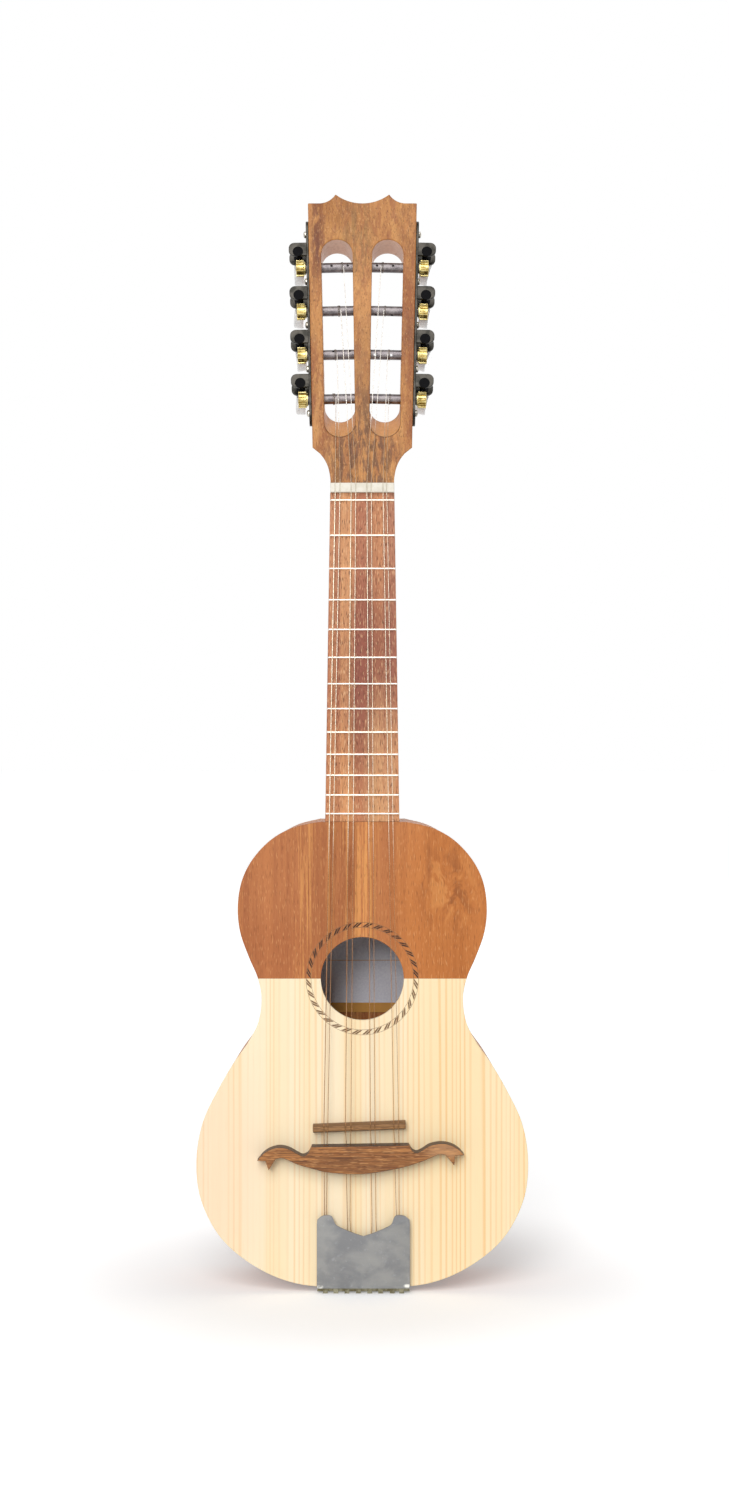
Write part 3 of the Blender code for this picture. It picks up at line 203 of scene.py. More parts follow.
# Upper edge of the moustache bridge from its left tip to its right tip, then its lower edge back, as (x, z)
MOUSTACHE_UPPER = (
    (-56.6, 72.8),
    (-53.2, 76.7),
    (-49.2, 79.1),
    (-44.2, 80.1),
    (-39.5, 79.1),
    (-35.1, 76.7),
    (-32.0, 75.4),
    (-29.1, 76.9),
    (-27.3, 80.4),
    (25.1, 81.2),
    (26.7, 78.5),
    (29.1, 77.2),
    (32.2, 78.4),
    (36.2, 80.9),
    (42.3, 82.1),
    (47.7, 81.3),
    (52.0, 78.9),
    (54.9, 75.8),
)
MOUSTACHE_LOWER = (
    (50.1, 75.5),
    (49.6, 70.3),
    (44.9, 75.8),
    (41.9, 76.2),
    (33.1, 72.7),
    (25.3, 70.1),
    (19.6, 68.7),
    (0.0, 65.6),
    (-19.4, 66.6),
    (-25.8, 68.2),
    (-34.7, 70.7),
    (-43.4, 74.2),
    (-46.8, 73.6),
    (-50.5, 67.6),
    (-52.1, 72.5),
)

# Right half of the cover plate's upper edge, from its side to the middle of the notch, as (x, z)
COVER_EDGE = (
    (25.0, 40.2),
    (22.1, 42.4),
    (17.3, 42.3),
    (15.1, 37.8),
    (12.6, 36.2),
    (4.9, 33.0),
    (0.0, 31.4),
)

BOARD_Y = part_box("soundboard")[0].y
BODY = Matrix.Translation((0, BOARD_Y, 0)) @ Matrix.Scale(MM, 4)
HEAD = BODY @ Matrix.Translation((0, HEAD_FACE_DEPTH, HEAD_FOOT_Z)) @ Matrix.Rotation(-HEAD_TILT, 4, "X")
SIDE_SLOPE = (CORNER_HALF_WIDTH - SHOULDER_HALF_WIDTH) / (CORNER_UP - SHOULDER_UP)
SIDES = {"left": -1, "right": 1}


def turned(degrees, axis):
    return Matrix.Rotation(math.radians(degrees), 4, axis)


def side_frame(side):
    """The frame of one edge of the head: +X points right, +Y under the face, and +Z up the edge."""
    foot = SHOULDER_HALF_WIDTH - SIDE_SLOPE * SHOULDER_UP
    lean = Matrix.Rotation(side * math.atan(SIDE_SLOPE), 4, "Y")
    return HEAD @ Matrix.Translation((side * foot, 0, 0)) @ lean


def post_frame(side, row):
    """Origin on the post's axis at the head's side; +Z points outwards."""
    spot = Matrix.Translation((0, POST_DEPTH, POST_ROWS[row]))
    return side_frame(side) @ spot @ turned(side * 90, "Y")


def key_frame(side, row):
    """Origin on the worm's axis at the level of the head's face; +Z points to the back."""
    spot = Matrix.Translation((side * WORM_OUT, 0, POST_ROWS[row] + WORM_RISE))
    return side_frame(side) @ spot @ turned(-90, "X")


# Materials

def rgb(red, green, blue):
    """A colour from its 0 to 255 screen values."""

    def linear(value):
        share = value / 255
        return share / 12.92 if share <= 0.04045 else ((share + 0.055) / 1.055) ** 2.4

    return (linear(red), linear(green), linear(blue), 1.0)


def give(tree, socket, value):
    """Set a shader socket, or link another node's output to it."""
    if isinstance(value, bpy.types.NodeSocket):
        tree.links.new(value, socket)
    else:
        socket.default_value = value


def add_node(tree, kind, output, settings=(), **inputs):
    """A new shader node's output. Its inputs are given by name, or by number as in _0."""
    node = tree.nodes.new("ShaderNode" + kind)
    for name, value in dict(settings).items():
        setattr(node, name, value)
    for name, value in inputs.items():
        give(tree, node.inputs[int(name[1:]) if name[1:].isdigit() else name.replace("_", " ")], value)
    return node.outputs[output]


class Finish:
    """One material, with short names for its shader nodes. Its colour is laid on in layers."""

    def __init__(
        self, name, roughness=0.4, metallic=0.0, specular=0.5, coat=0.0, coat_roughness=0.15, grain=None
    ):
        self.material = bpy.data.materials.new(name)
        self.material.use_nodes = True
        self.tree = self.material.node_tree
        self.shader = self.tree.nodes["Principled BSDF"]
        if grain:
            self.place = self.add("Attribute", "Vector", {"attribute_name": grain})
        else:
            self.place = self.tree.nodes.new("ShaderNodeTexCoord").outputs["Object"]
        self.set(Roughness=roughness, Metallic=metallic)
        self.shader.inputs["Specular IOR Level"].default_value = specular
        self.shader.inputs["Coat Weight"].default_value = coat
        self.shader.inputs["Coat Roughness"].default_value = coat_roughness

    def set(self, **values):
        for name, value in values.items():
            give(self.tree, self.shader.inputs[name.replace("_", " ")], value)

    def add(self, kind, output, settings=(), **inputs):
        return add_node(self.tree, kind, output, settings, **inputs)

    def noise(self, scale, detail=3.0, roughness=0.55, distortion=0.0, shift=(0, 0, 0), turn=(0, 0, 0)):
        """Noise from 0 to 1, with scale features in a metre along each axis."""
        where = self.add("Mapping", "Vector", Vector=self.place, Scale=scale, Location=shift, Rotation=turn)
        form = {"Scale": 1.0, "Detail": detail, "Roughness": roughness, "Distortion": distortion}
        return self.add("TexNoise", "Fac", Vector=where, **form)

    def spread(self, value, low, high, to_low=0.0, to_high=1.0):
        """A value's range from low to high, mapped softly and clamped."""
        keys = {"_1": low, "_2": high, "_3": to_low, "_4": to_high}
        return self.add("MapRange", "Result", {"interpolation_type": "SMOOTHSTEP"}, Value=value, **keys)

    def maths(self, operation, first, second=0.0):
        return self.add("Math", "Value", {"operation": operation}, _0=first, _1=second)

    def times(self, first, second):
        return self.maths("MULTIPLY", first, second)

    def blob(self, centre, size, edge=0.4):
        """1 inside an oval region given in millimetres (x, depth, z), falling to 0 outside it."""
        middle = BODY @ Vector(centre)
        off = self.add("VectorMath", "Vector", {"operation": "SUBTRACT"}, _0=self.place, _1=middle)
        reach = self.add("VectorMath", "Vector", {"operation": "DIVIDE"}, _0=off, _1=Vector(size) * MM)
        length = self.add("VectorMath", "Value", {"operation": "LENGTH"}, _0=reach)
        return self.spread(length, 1.0 - edge, 1.0 + edge, 1.0, 0.0)

    def mix(self, share, first, second, blend="MIX"):
        """Two colours mixed, each a node's output or three screen values."""
        colours = [c if isinstance(c, bpy.types.NodeSocket) else rgb(*c) for c in (first, second)]
        settings = {"data_type": "RGBA", "blend_type": blend}
        return self.add("Mix", 2, settings, _0=share, _6=colours[0], _7=colours[1])

    def tint(self, mask, share, colour):
        """Lay a colour over the finish where the mask is 1."""
        self.colour = self.mix(self.times(mask, share), self.colour, colour)

    def finished(self, height=None, distance=0.0, strength=0.0, rough=None):
        """The material with its colour, bumps from a height, and roughness that follows a pattern."""
        self.set(Base_Color=self.colour)
        if height is not None:
            bump = {"Strength": strength, "Distance": distance * MM, "Height": height}
            self.set(Normal=self.add("Bump", "Normal", **bump))
        if rough is not None:
            pattern, low, high = rough
            self.set(Roughness=self.spread(pattern, 0.3, 0.7, low, high))
        return self.material


def spruce_finish():
    """Pale straight-grained top wood: thin golden growth lines on cream, a little unevenly spaced."""
    f = Finish("spruce_varnished", roughness=0.45, specular=0.3)
    across = f.add("SeparateXYZ", "X", Vector=f.place)
    wander = f.noise((45, 45, 0.7), 2.0, 0.5)
    broad = f.noise((60, 60, 1.2), 2.0, shift=(0.4, 0, 0))
    weight = f.spread(f.noise((120, 120, 1.4), 3.0, shift=(3.1, 0, 0)), 0.36, 0.64, 0.12, 1.0)
    phase = f.maths("ADD", f.times(across, 2 * math.pi / (GROWTH_SPACING * MM)), f.times(wander, 40.0))
    line = f.times(f.spread(f.maths("SINE", phase), 0.1, 1.0), weight)
    right = f.blob((70, 0, 90), (46, 60, 90), 0.5)
    f.colour = f.mix(f.spread(broad, 0.35, 0.65), (255, 237, 203), (254, 231, 188))
    f.tint(line, 0.58, (245, 202, 142))
    f.tint(right, 0.5, (254, 226, 176))
    f.tint(f.times(right, line), 0.5, (244, 190, 122))
    f.tint(f.blob((-84, 0, 66), (30, 60, 60), 0.7), 0.45, (252, 220, 190))
    fibres = f.noise((2600, 2600, 60), 2.0)
    f.tint(f.spread(fibres, 0.55, 0.8), 0.1, (214, 166, 108))
    return f.finished(f.maths("ADD", line, f.times(fibres, 0.6)), 0.05, 0.3, (fibres, 0.4, 0.52))


def pores_in(f, scale, limits, share, colour):
    """Short dark dashes of open grain, laid on the wood. Their mask."""
    dashes = f.spread(f.noise(scale, 1.0, 0.4), *limits)
    f.tint(dashes, share, colour)
    return dashes


def add_chaff(f, scale, limits, share, colour):
    """Short pale dashes between the pores."""
    f.tint(f.spread(f.noise(scale, 1.0, 0.4, shift=(3, 5, 1)), *limits), share, colour)


def stripe(f, x, half_width, edge=0.5):
    """1 on a stripe that runs up the instrument at x."""
    return f.blob((x, 0, 300), (half_width, 90, 900), edge)


def mahogany_finish(name, grain_along=None):
    """Brown porous wood with ribbons of lighter grain, and the top's figure if it follows no attribute."""
    f = Finish(name, roughness=0.45, specular=0.12 if grain_along else 0.3, grain=grain_along)
    ribbon = f.noise((80, 80, 2.4), 3.0, 0.55, distortion=0.1)
    grain = f.noise((760, 760, 11), 4.0, 0.6)
    flame = f.noise((300, 300, 42), 3.0, 0.6, distortion=0.6, shift=(2, 1, 3))
    f.colour = f.mix(f.spread(ribbon, 0.36, 0.64), (160, 92, 46), (196, 122, 68))
    f.tint(f.spread(grain, 0.4, 0.62), 0.45, (208, 136, 76))
    f.tint(f.spread(flame, 0.5, 0.68), 0.3, (212, 140, 84))
    if not grain_along:
        top_figure(f, f.spread(grain, 0.5, 0.6))
    pores = pores_in(f, (2300, 2300, 210), (0.58, 0.72), 0.45, (116, 62, 30))
    add_chaff(f, (1900, 1900, 260), (0.6, 0.74), 0.34, (240, 180, 118))
    height = f.maths("SUBTRACT", f.times(grain, 0.5), pores)
    return f.finished(height, 0.08, 0.35, (grain, 0.38, 0.52))


def top_figure(f, gold):
    """Golden stripes left of the middle, a rosy left edge, and an orange right edge with a whorl in it."""
    whorl = f.noise((90, 90, 50), 3.0, 0.6, distortion=0.8, shift=(7, 0, 2))
    for x, half_width, share in ((-31.0, 4.2, 0.8), (-17.5, 2.2, 0.4), (-2.0, 9.0, 0.55), (3.5, 3.0, 0.5)):
        f.tint(f.times(stripe(f, x, half_width, 0.8), gold), share, (230, 162, 90))
    for x, half_width, share in ((-24.0, 4.6, 0.34), (-13.0, 3.0, 0.3), (13.0, 5.0, 0.38)):
        f.tint(stripe(f, x, half_width, 0.6), share, (158, 90, 50))
    f.tint(f.blob((-50, 0, 215), (20, 60, 60), 0.5), 0.4, (174, 102, 62))
    f.tint(f.blob((-50, 0, 184), (22, 60, 18), 0.6), 0.4, (168, 94, 48))
    f.tint(f.blob((50, 0, 205), (32, 60, 64)), 0.6, (192, 112, 44))
    knot = f.blob((47, 0, 218), (14, 60, 20), 0.6)
    f.tint(f.times(knot, f.spread(whorl, 0.47, 0.55)), 0.65, (142, 78, 32))
    f.tint(f.times(knot, f.spread(whorl, 0.38, 0.46, 1.0, 0.0)), 0.5, (220, 148, 80))
    f.tint(f.blob((36, 0, 232), (1.4, 60, 12), 0.7), 0.35, (142, 80, 40))


def neck_finish():
    """Light brown wood with dark streaks; the slots' walls are paler, their ramps smooth and tan, with
    painted shade at their feet.
    """
    f = Finish("neck_wood_varnished", roughness=0.45, specular=0.3)
    broad = f.noise((90, 90, 9), 3.0, 0.55, distortion=0.6)
    fine = f.noise((700, 700, 24), 4.0, 0.65, distortion=0.3)
    streak = f.noise((420, 420, 9), 3.0, 0.6, distortion=0.5, shift=(1.7, 0.3, 0.6))
    long = f.noise((230, 230, 5), 3.0, 0.6, distortion=0.4, shift=(5.3, 2, 0.2))
    cloud = f.noise((60, 60, 26), 3.0, 0.6, distortion=0.9, shift=(4, 1, 1))
    f.colour = f.mix(f.spread(broad, 0.36, 0.64), (158, 96, 46), (196, 134, 72))
    f.tint(f.spread(fine, 0.44, 0.62), 0.5, (206, 148, 88))
    f.tint(f.spread(long, 0.5, 0.6), 0.5, (148, 84, 44))
    f.tint(f.spread(long, 0.36, 0.48, 1.0, 0.0), 0.45, (214, 156, 92))
    f.tint(f.spread(cloud, 0.5, 0.66), 0.3, (184, 112, 60))
    for centre, size, edge, pattern, limits, share, tint in (
        ((0, 40, 550), (5, 60, 26), 0.6, fine, (0.3, 0.6), 0.6, (224, 160, 98)),
        ((27, 40, 526), (6, 60, 56), 0.5, streak, (0.3, 0.6, 0.5, 1.0), 0.65, (142, 78, 38)),
        ((1, 40, 505), (8, 60, 34), 0.5, streak, (0.3, 0.6, 0.3, 1.0), 0.45, (140, 92, 54)),
        ((-16, 40, 592), (6, 60, 16), 0.5, fine, (0.3, 0.6), 0.5, (216, 156, 86)),
        ((1, 10, 452), (19, 40, 24), 0.4, streak, (0.42, 0.56), 0.8, (104, 68, 46)),
        ((2, 14, 478), (12, 40, 14), 0.5, streak, (0.46, 0.56), 0.6, (112, 74, 44)),
        ((-25.2, 40, 586), (3.4, 60, 28), 0.5, streak, (0.34, 0.52), 0.85, (106, 52, 26)),
        ((-15, 40, 598), (13, 60, 12), 0.6, streak, (0.3, 0.6, 0.4, 1.0), 0.6, (146, 84, 30)),
        ((-28.5, 40, 520), (2.2, 60, 60), 0.5, streak, (0.4, 0.6), 0.35, (130, 74, 40)),
        ((26.5, 30, 517), (4.5, 60, 18), 0.5, cloud, (0.4, 0.6), 0.6, (120, 66, 36)),
        ((26, 40, 590), (6, 60, 20), 0.5, streak, (0.42, 0.58), 0.5, (136, 84, 44)),
        ((0, 30, 500), (5, 60, 26), 0.5, cloud, (0.42, 0.6), 0.5, (122, 80, 46)),
        ((-3, 40, 580), (9, 60, 24), 0.5, streak, (0.4, 0.6), 0.5, (128, 96, 52)),
    ):
        f.tint(f.times(f.blob(centre, size, edge), f.spread(pattern, *limits)), share, tint)
    pores = pores_in(f, (2500, 2500, 110), (0.6, 0.72), 0.6, (88, 52, 28))
    add_chaff(f, (2100, 2100, 170), (0.6, 0.72), 0.35, (232, 180, 122))
    head = {"Location": HEAD.translation, "Rotation": HEAD.to_euler(), "Scale": (MM, MM, MM)}
    on_head = f.add("Mapping", "Vector", {"vector_type": "TEXTURE"}, Vector=f.place, **head)
    out, depth, up = (f.add("SeparateXYZ", axis, Vector=on_head) for axis in "XYZ")
    inside = f.maths("LESS_THAN", f.maths("ABSOLUTE", out), SLOTS_REACH)
    inside = f.times(inside, f.maths("GREATER_THAN", up, SLOTS_FROM))
    inside = f.times(inside, f.maths("LESS_THAN", up, SLOTS_TO))
    inside = f.times(inside, f.maths("LESS_THAN", depth, HEAD_THICKNESS - 0.2))
    wall = f.times(inside, f.spread(depth, 0.4, 1.0))
    wall_tint = f.mix(f.spread(up, *ROSY_WALLS), (226, 160, 86), (244, 206, 184))
    wall_tint = f.mix(f.times(f.spread(fine, 0.45, 0.65), 0.2), wall_tint, (150, 106, 76))
    f.tint(wall, 0.9, wall_tint)
    # Painted shade: a dark line at the foot of each slot's ramp, along its flared edge
    painted_foot_shade = f.times(inside, f.maths("LESS_THAN", up, SHADE_LINE_TO))
    painted_foot_shade = f.times(painted_foot_shade, f.maths("GREATER_THAN", depth, SHADE_LINE_DEPTHS[0]))
    painted_foot_shade = f.times(painted_foot_shade, f.maths("LESS_THAN", depth, SHADE_LINE_DEPTHS[1]))
    f.tint(painted_foot_shade, 0.6, (104, 66, 38))
    height = f.maths("SUBTRACT", f.times(fine, 0.5), pores)
    return f.finished(height, 0.07, 0.35, (fine, 0.38, 0.52))


def board_finish():
    """Reddish fingerboard with tan and mauve stripes up it."""
    f = Finish("fingerboard_wood", roughness=0.5, specular=0.3)
    ribbon = f.noise((230, 230, 3.2), 3.0, 0.6, distortion=0.2)
    fine = f.noise((800, 800, 26), 4.0, 0.65)
    f.colour = f.mix(f.spread(ribbon, 0.36, 0.66), (166, 100, 72), (190, 124, 88))
    for x, half_width, share, tint in (
        (-16.2, 2.0, 0.5, (200, 138, 98)),
        (-12.6, 1.6, 0.6, (158, 94, 72)),
        (-8.6, 3.4, 0.8, (226, 166, 110)),
        (-4.2, 1.4, 0.5, (196, 130, 92)),
        (-0.4, 3.4, 0.8, (160, 86, 64)),
        (3.8, 1.5, 0.7, (134, 86, 70)),
        (8.2, 3.4, 0.6, (196, 130, 82)),
        (12.6, 1.6, 0.5, (156, 100, 78)),
        (15.8, 2.2, 0.55, (150, 96, 84)),
    ):
        band = f.times(stripe(f, x, half_width, 0.35), f.spread(ribbon, 0.2, 0.6, 0.6, 1.0))
        f.tint(band, share, tint)
    f.tint(f.blob((0, 0, 262), (60, 90, 50), 0.5), 0.5, (212, 146, 96))
    f.tint(f.blob((0, 0, 430), (60, 90, 52), 0.5), 0.3, (206, 150, 112))
    shade = f.times(f.blob((3, 0, 330), (13, 90, 50), 0.6), f.spread(ribbon, 0.2, 0.6, 0.5, 1.0))
    f.tint(shade, 0.75, (134, 76, 64))
    pale = f.times(f.blob((11, 0, 272), (9, 90, 50), 0.5), f.spread(fine, 0.35, 0.6))
    f.tint(pale, 0.6, (232, 182, 130))
    f.tint(f.spread(fine, 0.44, 0.7), 0.3, (140, 82, 56))
    pores = pores_in(f, (2300, 2300, 260), (0.58, 0.7), 0.8, (88, 48, 32))
    add_chaff(f, (1900, 1900, 260), (0.58, 0.7), 0.5, (240, 194, 148))
    return f.finished(f.maths("SUBTRACT", f.times(fine, 0.4), pores), 0.1, 0.45)


def bridge_finish(name, pale, deep, dark, upper):
    """Dark wood with its grain from left to right, and painted shade on the faces that look up or down."""
    f = Finish(name, roughness=0.45, specular=0.35)
    where = f.noise((14, 260, 260), 2.0, 0.5, distortion=0.6)
    ribbon = f.noise((12, 520, 520), 3.0, 0.6, distortion=0.7)
    fine = f.noise((60, 1700, 1700), 4.0, 0.65, distortion=0.4)
    normal = f.tree.nodes.new("ShaderNodeNewGeometry").outputs["True Normal"]
    up = f.add("SeparateXYZ", "Z", Vector=normal)
    f.colour = f.mix(f.spread(ribbon, 0.38, 0.6), deep, pale)
    f.tint(f.spread(fine, 0.46, 0.62), 0.7, dark)
    f.tint(f.spread(where, 0.5, 0.66), 0.35, pale)
    seam = f.noise((30, 900, 900), 3.0, 0.6, distortion=0.5, shift=(2, 2, 5))
    f.tint(f.spread(seam, 0.56, 0.64), 0.75, dark)
    f.tint(f.blob((44, -MOUSTACHE_HEIGHT, 78), (9, 6, 4), 0.5), 0.45, (204, 158, 116))
    belly = f.times(f.blob((0, -MOUSTACHE_HEIGHT, 69.5), (34, 6, 4.5), 0.4), f.spread(ribbon, 0.3, 0.55))
    f.tint(belly, 0.4, dark)
    pores = pores_in(f, (210, 2300, 2300), (0.58, 0.7), 0.6, dark)
    add_chaff(f, (240, 2100, 2100), (0.58, 0.7), 0.4, (222, 164, 106))
    # Painted shade: faces that look up or down take the last, darker tone
    f.colour = f.mix(f.spread(f.maths("ABSOLUTE", up), 0.35, 0.7, 0.0, 0.92), f.colour, upper)
    return f.finished(f.maths("SUBTRACT", fine, pores), 0.07, 0.5)


def inner_finish():
    """Bare planed wood inside the body."""
    f = Finish("inner_wood_bare", roughness=0.75)
    grain = f.noise((35, 300, 300), 3.0, 0.6)
    f.colour = f.mix(f.spread(grain, 0.35, 0.65), (196, 160, 118), (222, 190, 146))
    return f.finished(grain, 0.1, 0.4)


def inlay_finish(name, tint, worn):
    """Hard wood let into the top under its varnish."""
    f = Finish(name, roughness=0.5, specular=0.2)
    grain = f.noise((900, 900, 300), 3.0, 0.6)
    height = f.add("SeparateXYZ", "Z", Vector=f.place)
    on_spruce = f.maths("LESS_THAN", height, SEAM_Z * MM)
    f.colour = f.mix(f.spread(grain, 0.35, 0.7), tint, worn)
    f.tint(on_spruce, 0.3, (196, 160, 118))
    return f.finished()


def label_finish():
    """A plain pale paper label with an ochre band along its foot and a thin ochre rule."""
    f = Finish("label_paper", roughness=0.85)
    height = f.add("SeparateXYZ", "Z", Vector=f.place)
    fibres = f.noise((900, 900, 900), 3.0, 0.6)
    f.colour = f.mix(f.spread(fibres, 0.35, 0.65), (236, 236, 246), (248, 248, 255))
    band = f.maths("LESS_THAN", height, LABEL_BAND_TOP)
    low, high = LABEL_RULE
    rule = f.times(f.maths("GREATER_THAN", height, low), f.maths("LESS_THAN", height, high))
    f.tint(band, 0.95, (222, 156, 52))
    f.tint(rule, 0.6, (214, 160, 96))
    return f.finished(fibres, 0.02, 0.3)


def bone_finish():
    """Polished off-white nut with faint mottling."""
    f = Finish("nut_white", roughness=0.35, specular=0.4)
    mottle = f.noise((260, 260, 260), 3.0, 0.6)
    f.colour = f.mix(f.spread(mottle, 0.35, 0.65), (224, 217, 200), (236, 230, 216))
    return f.finished(rough=(mottle, 0.3, 0.42))


def metal_finish(name, tint, worn, roughness, scale, marks=0.4):
    """Metal whose polish and tone vary from place to place."""
    f = Finish(name, roughness=roughness, metallic=1.0)
    cloud = f.noise(scale, 4.0, 0.6)
    fine = f.noise(tuple(value * 9 for value in scale), 3.0, 0.6)
    f.colour = f.mix(f.spread(cloud, 0.36, 0.66), tint, worn)
    return f.finished(fine, 0.02, marks, (cloud, roughness * 0.7, roughness * 1.35))


def string_finish():
    """Wire whose light and shade are painted by height: brown shade on the spruce, bright reflection up the
    neck, shade at the nut, near-white over the slots.
    """
    f = Finish("string_metal", roughness=0.35, metallic=1.0)
    height = f.add("SeparateXYZ", "Z", Vector=f.place)
    turns = f.noise((2000, 2000, 2000), 2.0, 0.6)
    # Painted light and shade by height: brown shade low, a bright reflection from the body's top, shade from
    # the nut, near-white over the slots
    f.colour = (184, 140, 102)
    for start, end, tint in (
        (0.225, 0.262, (252, 244, 224)),
        (0.434, 0.442, (176, 150, 124)),
        (0.468, 0.478, (250, 248, 242)),
    ):
        f.colour = f.mix(f.spread(height, start, end), f.colour, tint)
    dulled = f.mix(1.0, f.colour, (214, 208, 200), "MULTIPLY")
    f.colour = f.mix(f.spread(turns, 0.4, 0.6), dulled, f.colour)
    return f.finished()


def cover_finish():
    """Dull plated sheet: cloudy, with a few fine scratches, and painted highlights at its lower corners."""
    f = Finish("tail_plate", roughness=0.42, metallic=1.0)
    cloud = f.noise((60, 60, 80), 4.0, 0.6, distortion=0.3)
    speck = f.noise((420, 420, 420), 4.0, 0.7)
    scratch = f.noise((90, 90, 2600), 2.0, 0.5, turn=(0, 0.35, 0))
    f.colour = f.mix(f.spread(cloud, 0.36, 0.66), (130, 131, 133), (148, 148, 146))
    f.tint(f.spread(speck, 0.56, 0.72), 0.4, (164, 166, 168))
    f.tint(f.spread(scratch, 0.68, 0.76), 0.35, (166, 166, 162))
    # Painted highlights: near-white glints, broken by specks, at the plate's two lower corners
    for x, z in ((24.3, 4.6), (-23.0, 4.0)):
        corner_glint = f.times(f.blob((x, COVER_FRONT, z), (1.6, 3, 0.9), 0.5), f.spread(speck, 0.35, 0.55))
        f.tint(corner_glint, 0.9, (244, 244, 238))
    return f.finished(f.maths("ADD", cloud, f.times(speck, 0.25)), 0.04, 0.4, (cloud, 0.38, 0.52))


def dark_finish():
    """Black oxide on the worms and their ends."""
    f = Finish("worm_black", roughness=0.3, specular=0.04)
    cloud = f.noise((520, 520, 520), 3.0, 0.6)
    f.colour = f.mix(f.spread(cloud, 0.4, 0.66), (3, 3, 6), (14, 12, 14))
    return f.finished(rough=(cloud, 0.3, 0.5))


def pearl_finish():
    """Pearly plastic: milky bands that catch the light."""
    f = Finish("button_pearl", roughness=0.22, coat=0.5, coat_roughness=0.08)
    swirl = f.noise((150, 150, 90), 3.0, 0.5, distortion=2.2)
    fine = f.noise((420, 420, 420), 2.0, 0.5, distortion=1.0)
    f.colour = f.mix(f.spread(swirl, 0.36, 0.64), (244, 243, 242), (254, 254, 252))
    f.tint(f.spread(fine, 0.5, 0.7), 0.3, (232, 228, 232))
    return f.finished()


METALS = {
    "fret": ("fret_metal", (244, 238, 226), (255, 252, 244), 0.34, (500, 60, 60)),
    "winding": ("winding_metal", (120, 114, 110), (166, 158, 154), 0.4, (520, 520, 520), 0.2),
    "hook": ("hook_metal", (112, 106, 82), (156, 152, 130), 0.45, (240, 240, 240)),
    "plate": ("tuner_metal", (38, 37, 34), (74, 71, 66), 0.34, (200, 200, 200)),
    "roller": ("roller_metal", (104, 98, 100), (142, 136, 136), 0.4, (300, 300, 300), 0.15),
    "screw": ("screw_metal", (124, 118, 108), (206, 200, 188), 0.22, (520, 520, 520)),
    "brass": ("gear_brass", (174, 152, 90), (222, 206, 146), 0.3, (300, 300, 300), 0.2),
}
# Each bridge's tones: pale, deep, dark grain, and last the painted shade of its faces that look up or down
BAR_TONES = ((156, 114, 70), (138, 98, 56), (108, 74, 42), (118, 84, 52))
MOUSTACHE_TONES = ((182, 122, 68), (136, 84, 44), (92, 54, 28), (54, 38, 36))
FINISHES = {
    "spruce": spruce_finish(),
    "mahogany": mahogany_finish("mahogany_varnished"),
    "bent_mahogany": mahogany_finish("mahogany_bent", GRAIN_ALONG),
    "neck": neck_finish(),
    "board": board_finish(),
    "bridge": bridge_finish("bar_wood", *BAR_TONES),
    "moustache": bridge_finish("moustache_wood_oiled", *MOUSTACHE_TONES),
    "inner": inner_finish(),
    "rope_dark": inlay_finish("rope_dark", (66, 44, 32), (96, 68, 50)),
    "rope_line": inlay_finish("rope_line", (112, 84, 62), (146, 116, 88)),
    "label": label_finish(),
    "bone": bone_finish(),
    "string": string_finish(),
    "cover": cover_finish(),
    "dark": dark_finish(),
    "pearl": pearl_finish(),
}
for metal, values in METALS.items():
    FINISHES[metal] = metal_finish(*values)


# Mesh tools

def through(points, steps):
    """A smooth open line through points (x, z): a centripetal Catmull-Rom spline, with steps in each span."""
    knots = [Vector(p) for p in points]
    knots = [2 * knots[0] - knots[1]] + knots + [2 * knots[-1] - knots[-2]]
    line = []
    for a, b, c, d in zip(knots, knots[1:], knots[2:], knots[3:]):
        ab, bc, cd = (math.sqrt((q - p).length) for p, q in ((a, b), (b, c), (c, d)))
        leave = ((b - a) / ab - (c - a) / (ab + bc) + (c - b) / bc) * bc
        arrive = ((c - b) / bc - (d - b) / (bc + cd) + (d - c) / cd) * bc
        for step in range(steps):
            t = step / steps
            line.append(
                (2 * t**3 - 3 * t**2 + 1) * b
                + (t**3 - 2 * t**2 + t) * leave
                + (3 * t**2 - 2 * t**3) * c
                + (t**3 - t**2) * arrive
            )
    line.append(knots[-2])
    return [tuple(p) for p in line]


def arc(centre, radius, start, end, steps):
    """Points of a circle's arc between two angles in degrees."""
    angles = [math.radians(start + (end - start) * i / steps) for i in range(steps + 1)]
    return [(centre[0] + radius * math.cos(a), centre[1] + radius * math.sin(a)) for a in angles]


def mirrored(half):
    """A half outline that ends on the middle line, and its mirror image after it."""
    on_line = abs(half[-1][0]) < 1e-9
    back = half[-2::-1] if on_line else half[::-1]
    return list(half) + [(-x, z) for x, z in back]


def inset(line, distance):
    """An open line moved to its right-hand side, seen along its way, by a number or a rule of z."""
    moved = []
    for i, (x, z) in enumerate(line):
        before = line[max(i - 1, 0)]
        after = line[min(i + 1, len(line) - 1)]
        run = Vector((after[0] - before[0], after[1] - before[1])).normalized()
        here = distance(z) if callable(distance) else distance
        moved.append((x + run.y * here, z - run.x * here))
    return moved


DIRECTIONS = {
    "depth": lambda a, b, t: (a, t, b),
    "x": lambda a, b, t: (t, a, b),
    "z": lambda a, b, t: (a, b, t),
}


def loft(rings, caps=True, closed=True):
    """A mesh between rings of equal length, as a bmesh."""
    bm = bmesh.new()
    rows = [[bm.verts.new(point) for point in ring] for ring in rings]
    size = len(rows[0])
    for low, high in zip(rows, rows[1:]):
        for i in range(size if closed else size - 1):
            j = (i + 1) % size
            bm.faces.new((low[i], low[j], high[j], high[i]))
    if caps:
        bm.faces.new(rows[0][::-1])
        bm.faces.new(rows[-1])
    bmesh.ops.recalc_face_normals(bm, faces=bm.faces)
    return bm


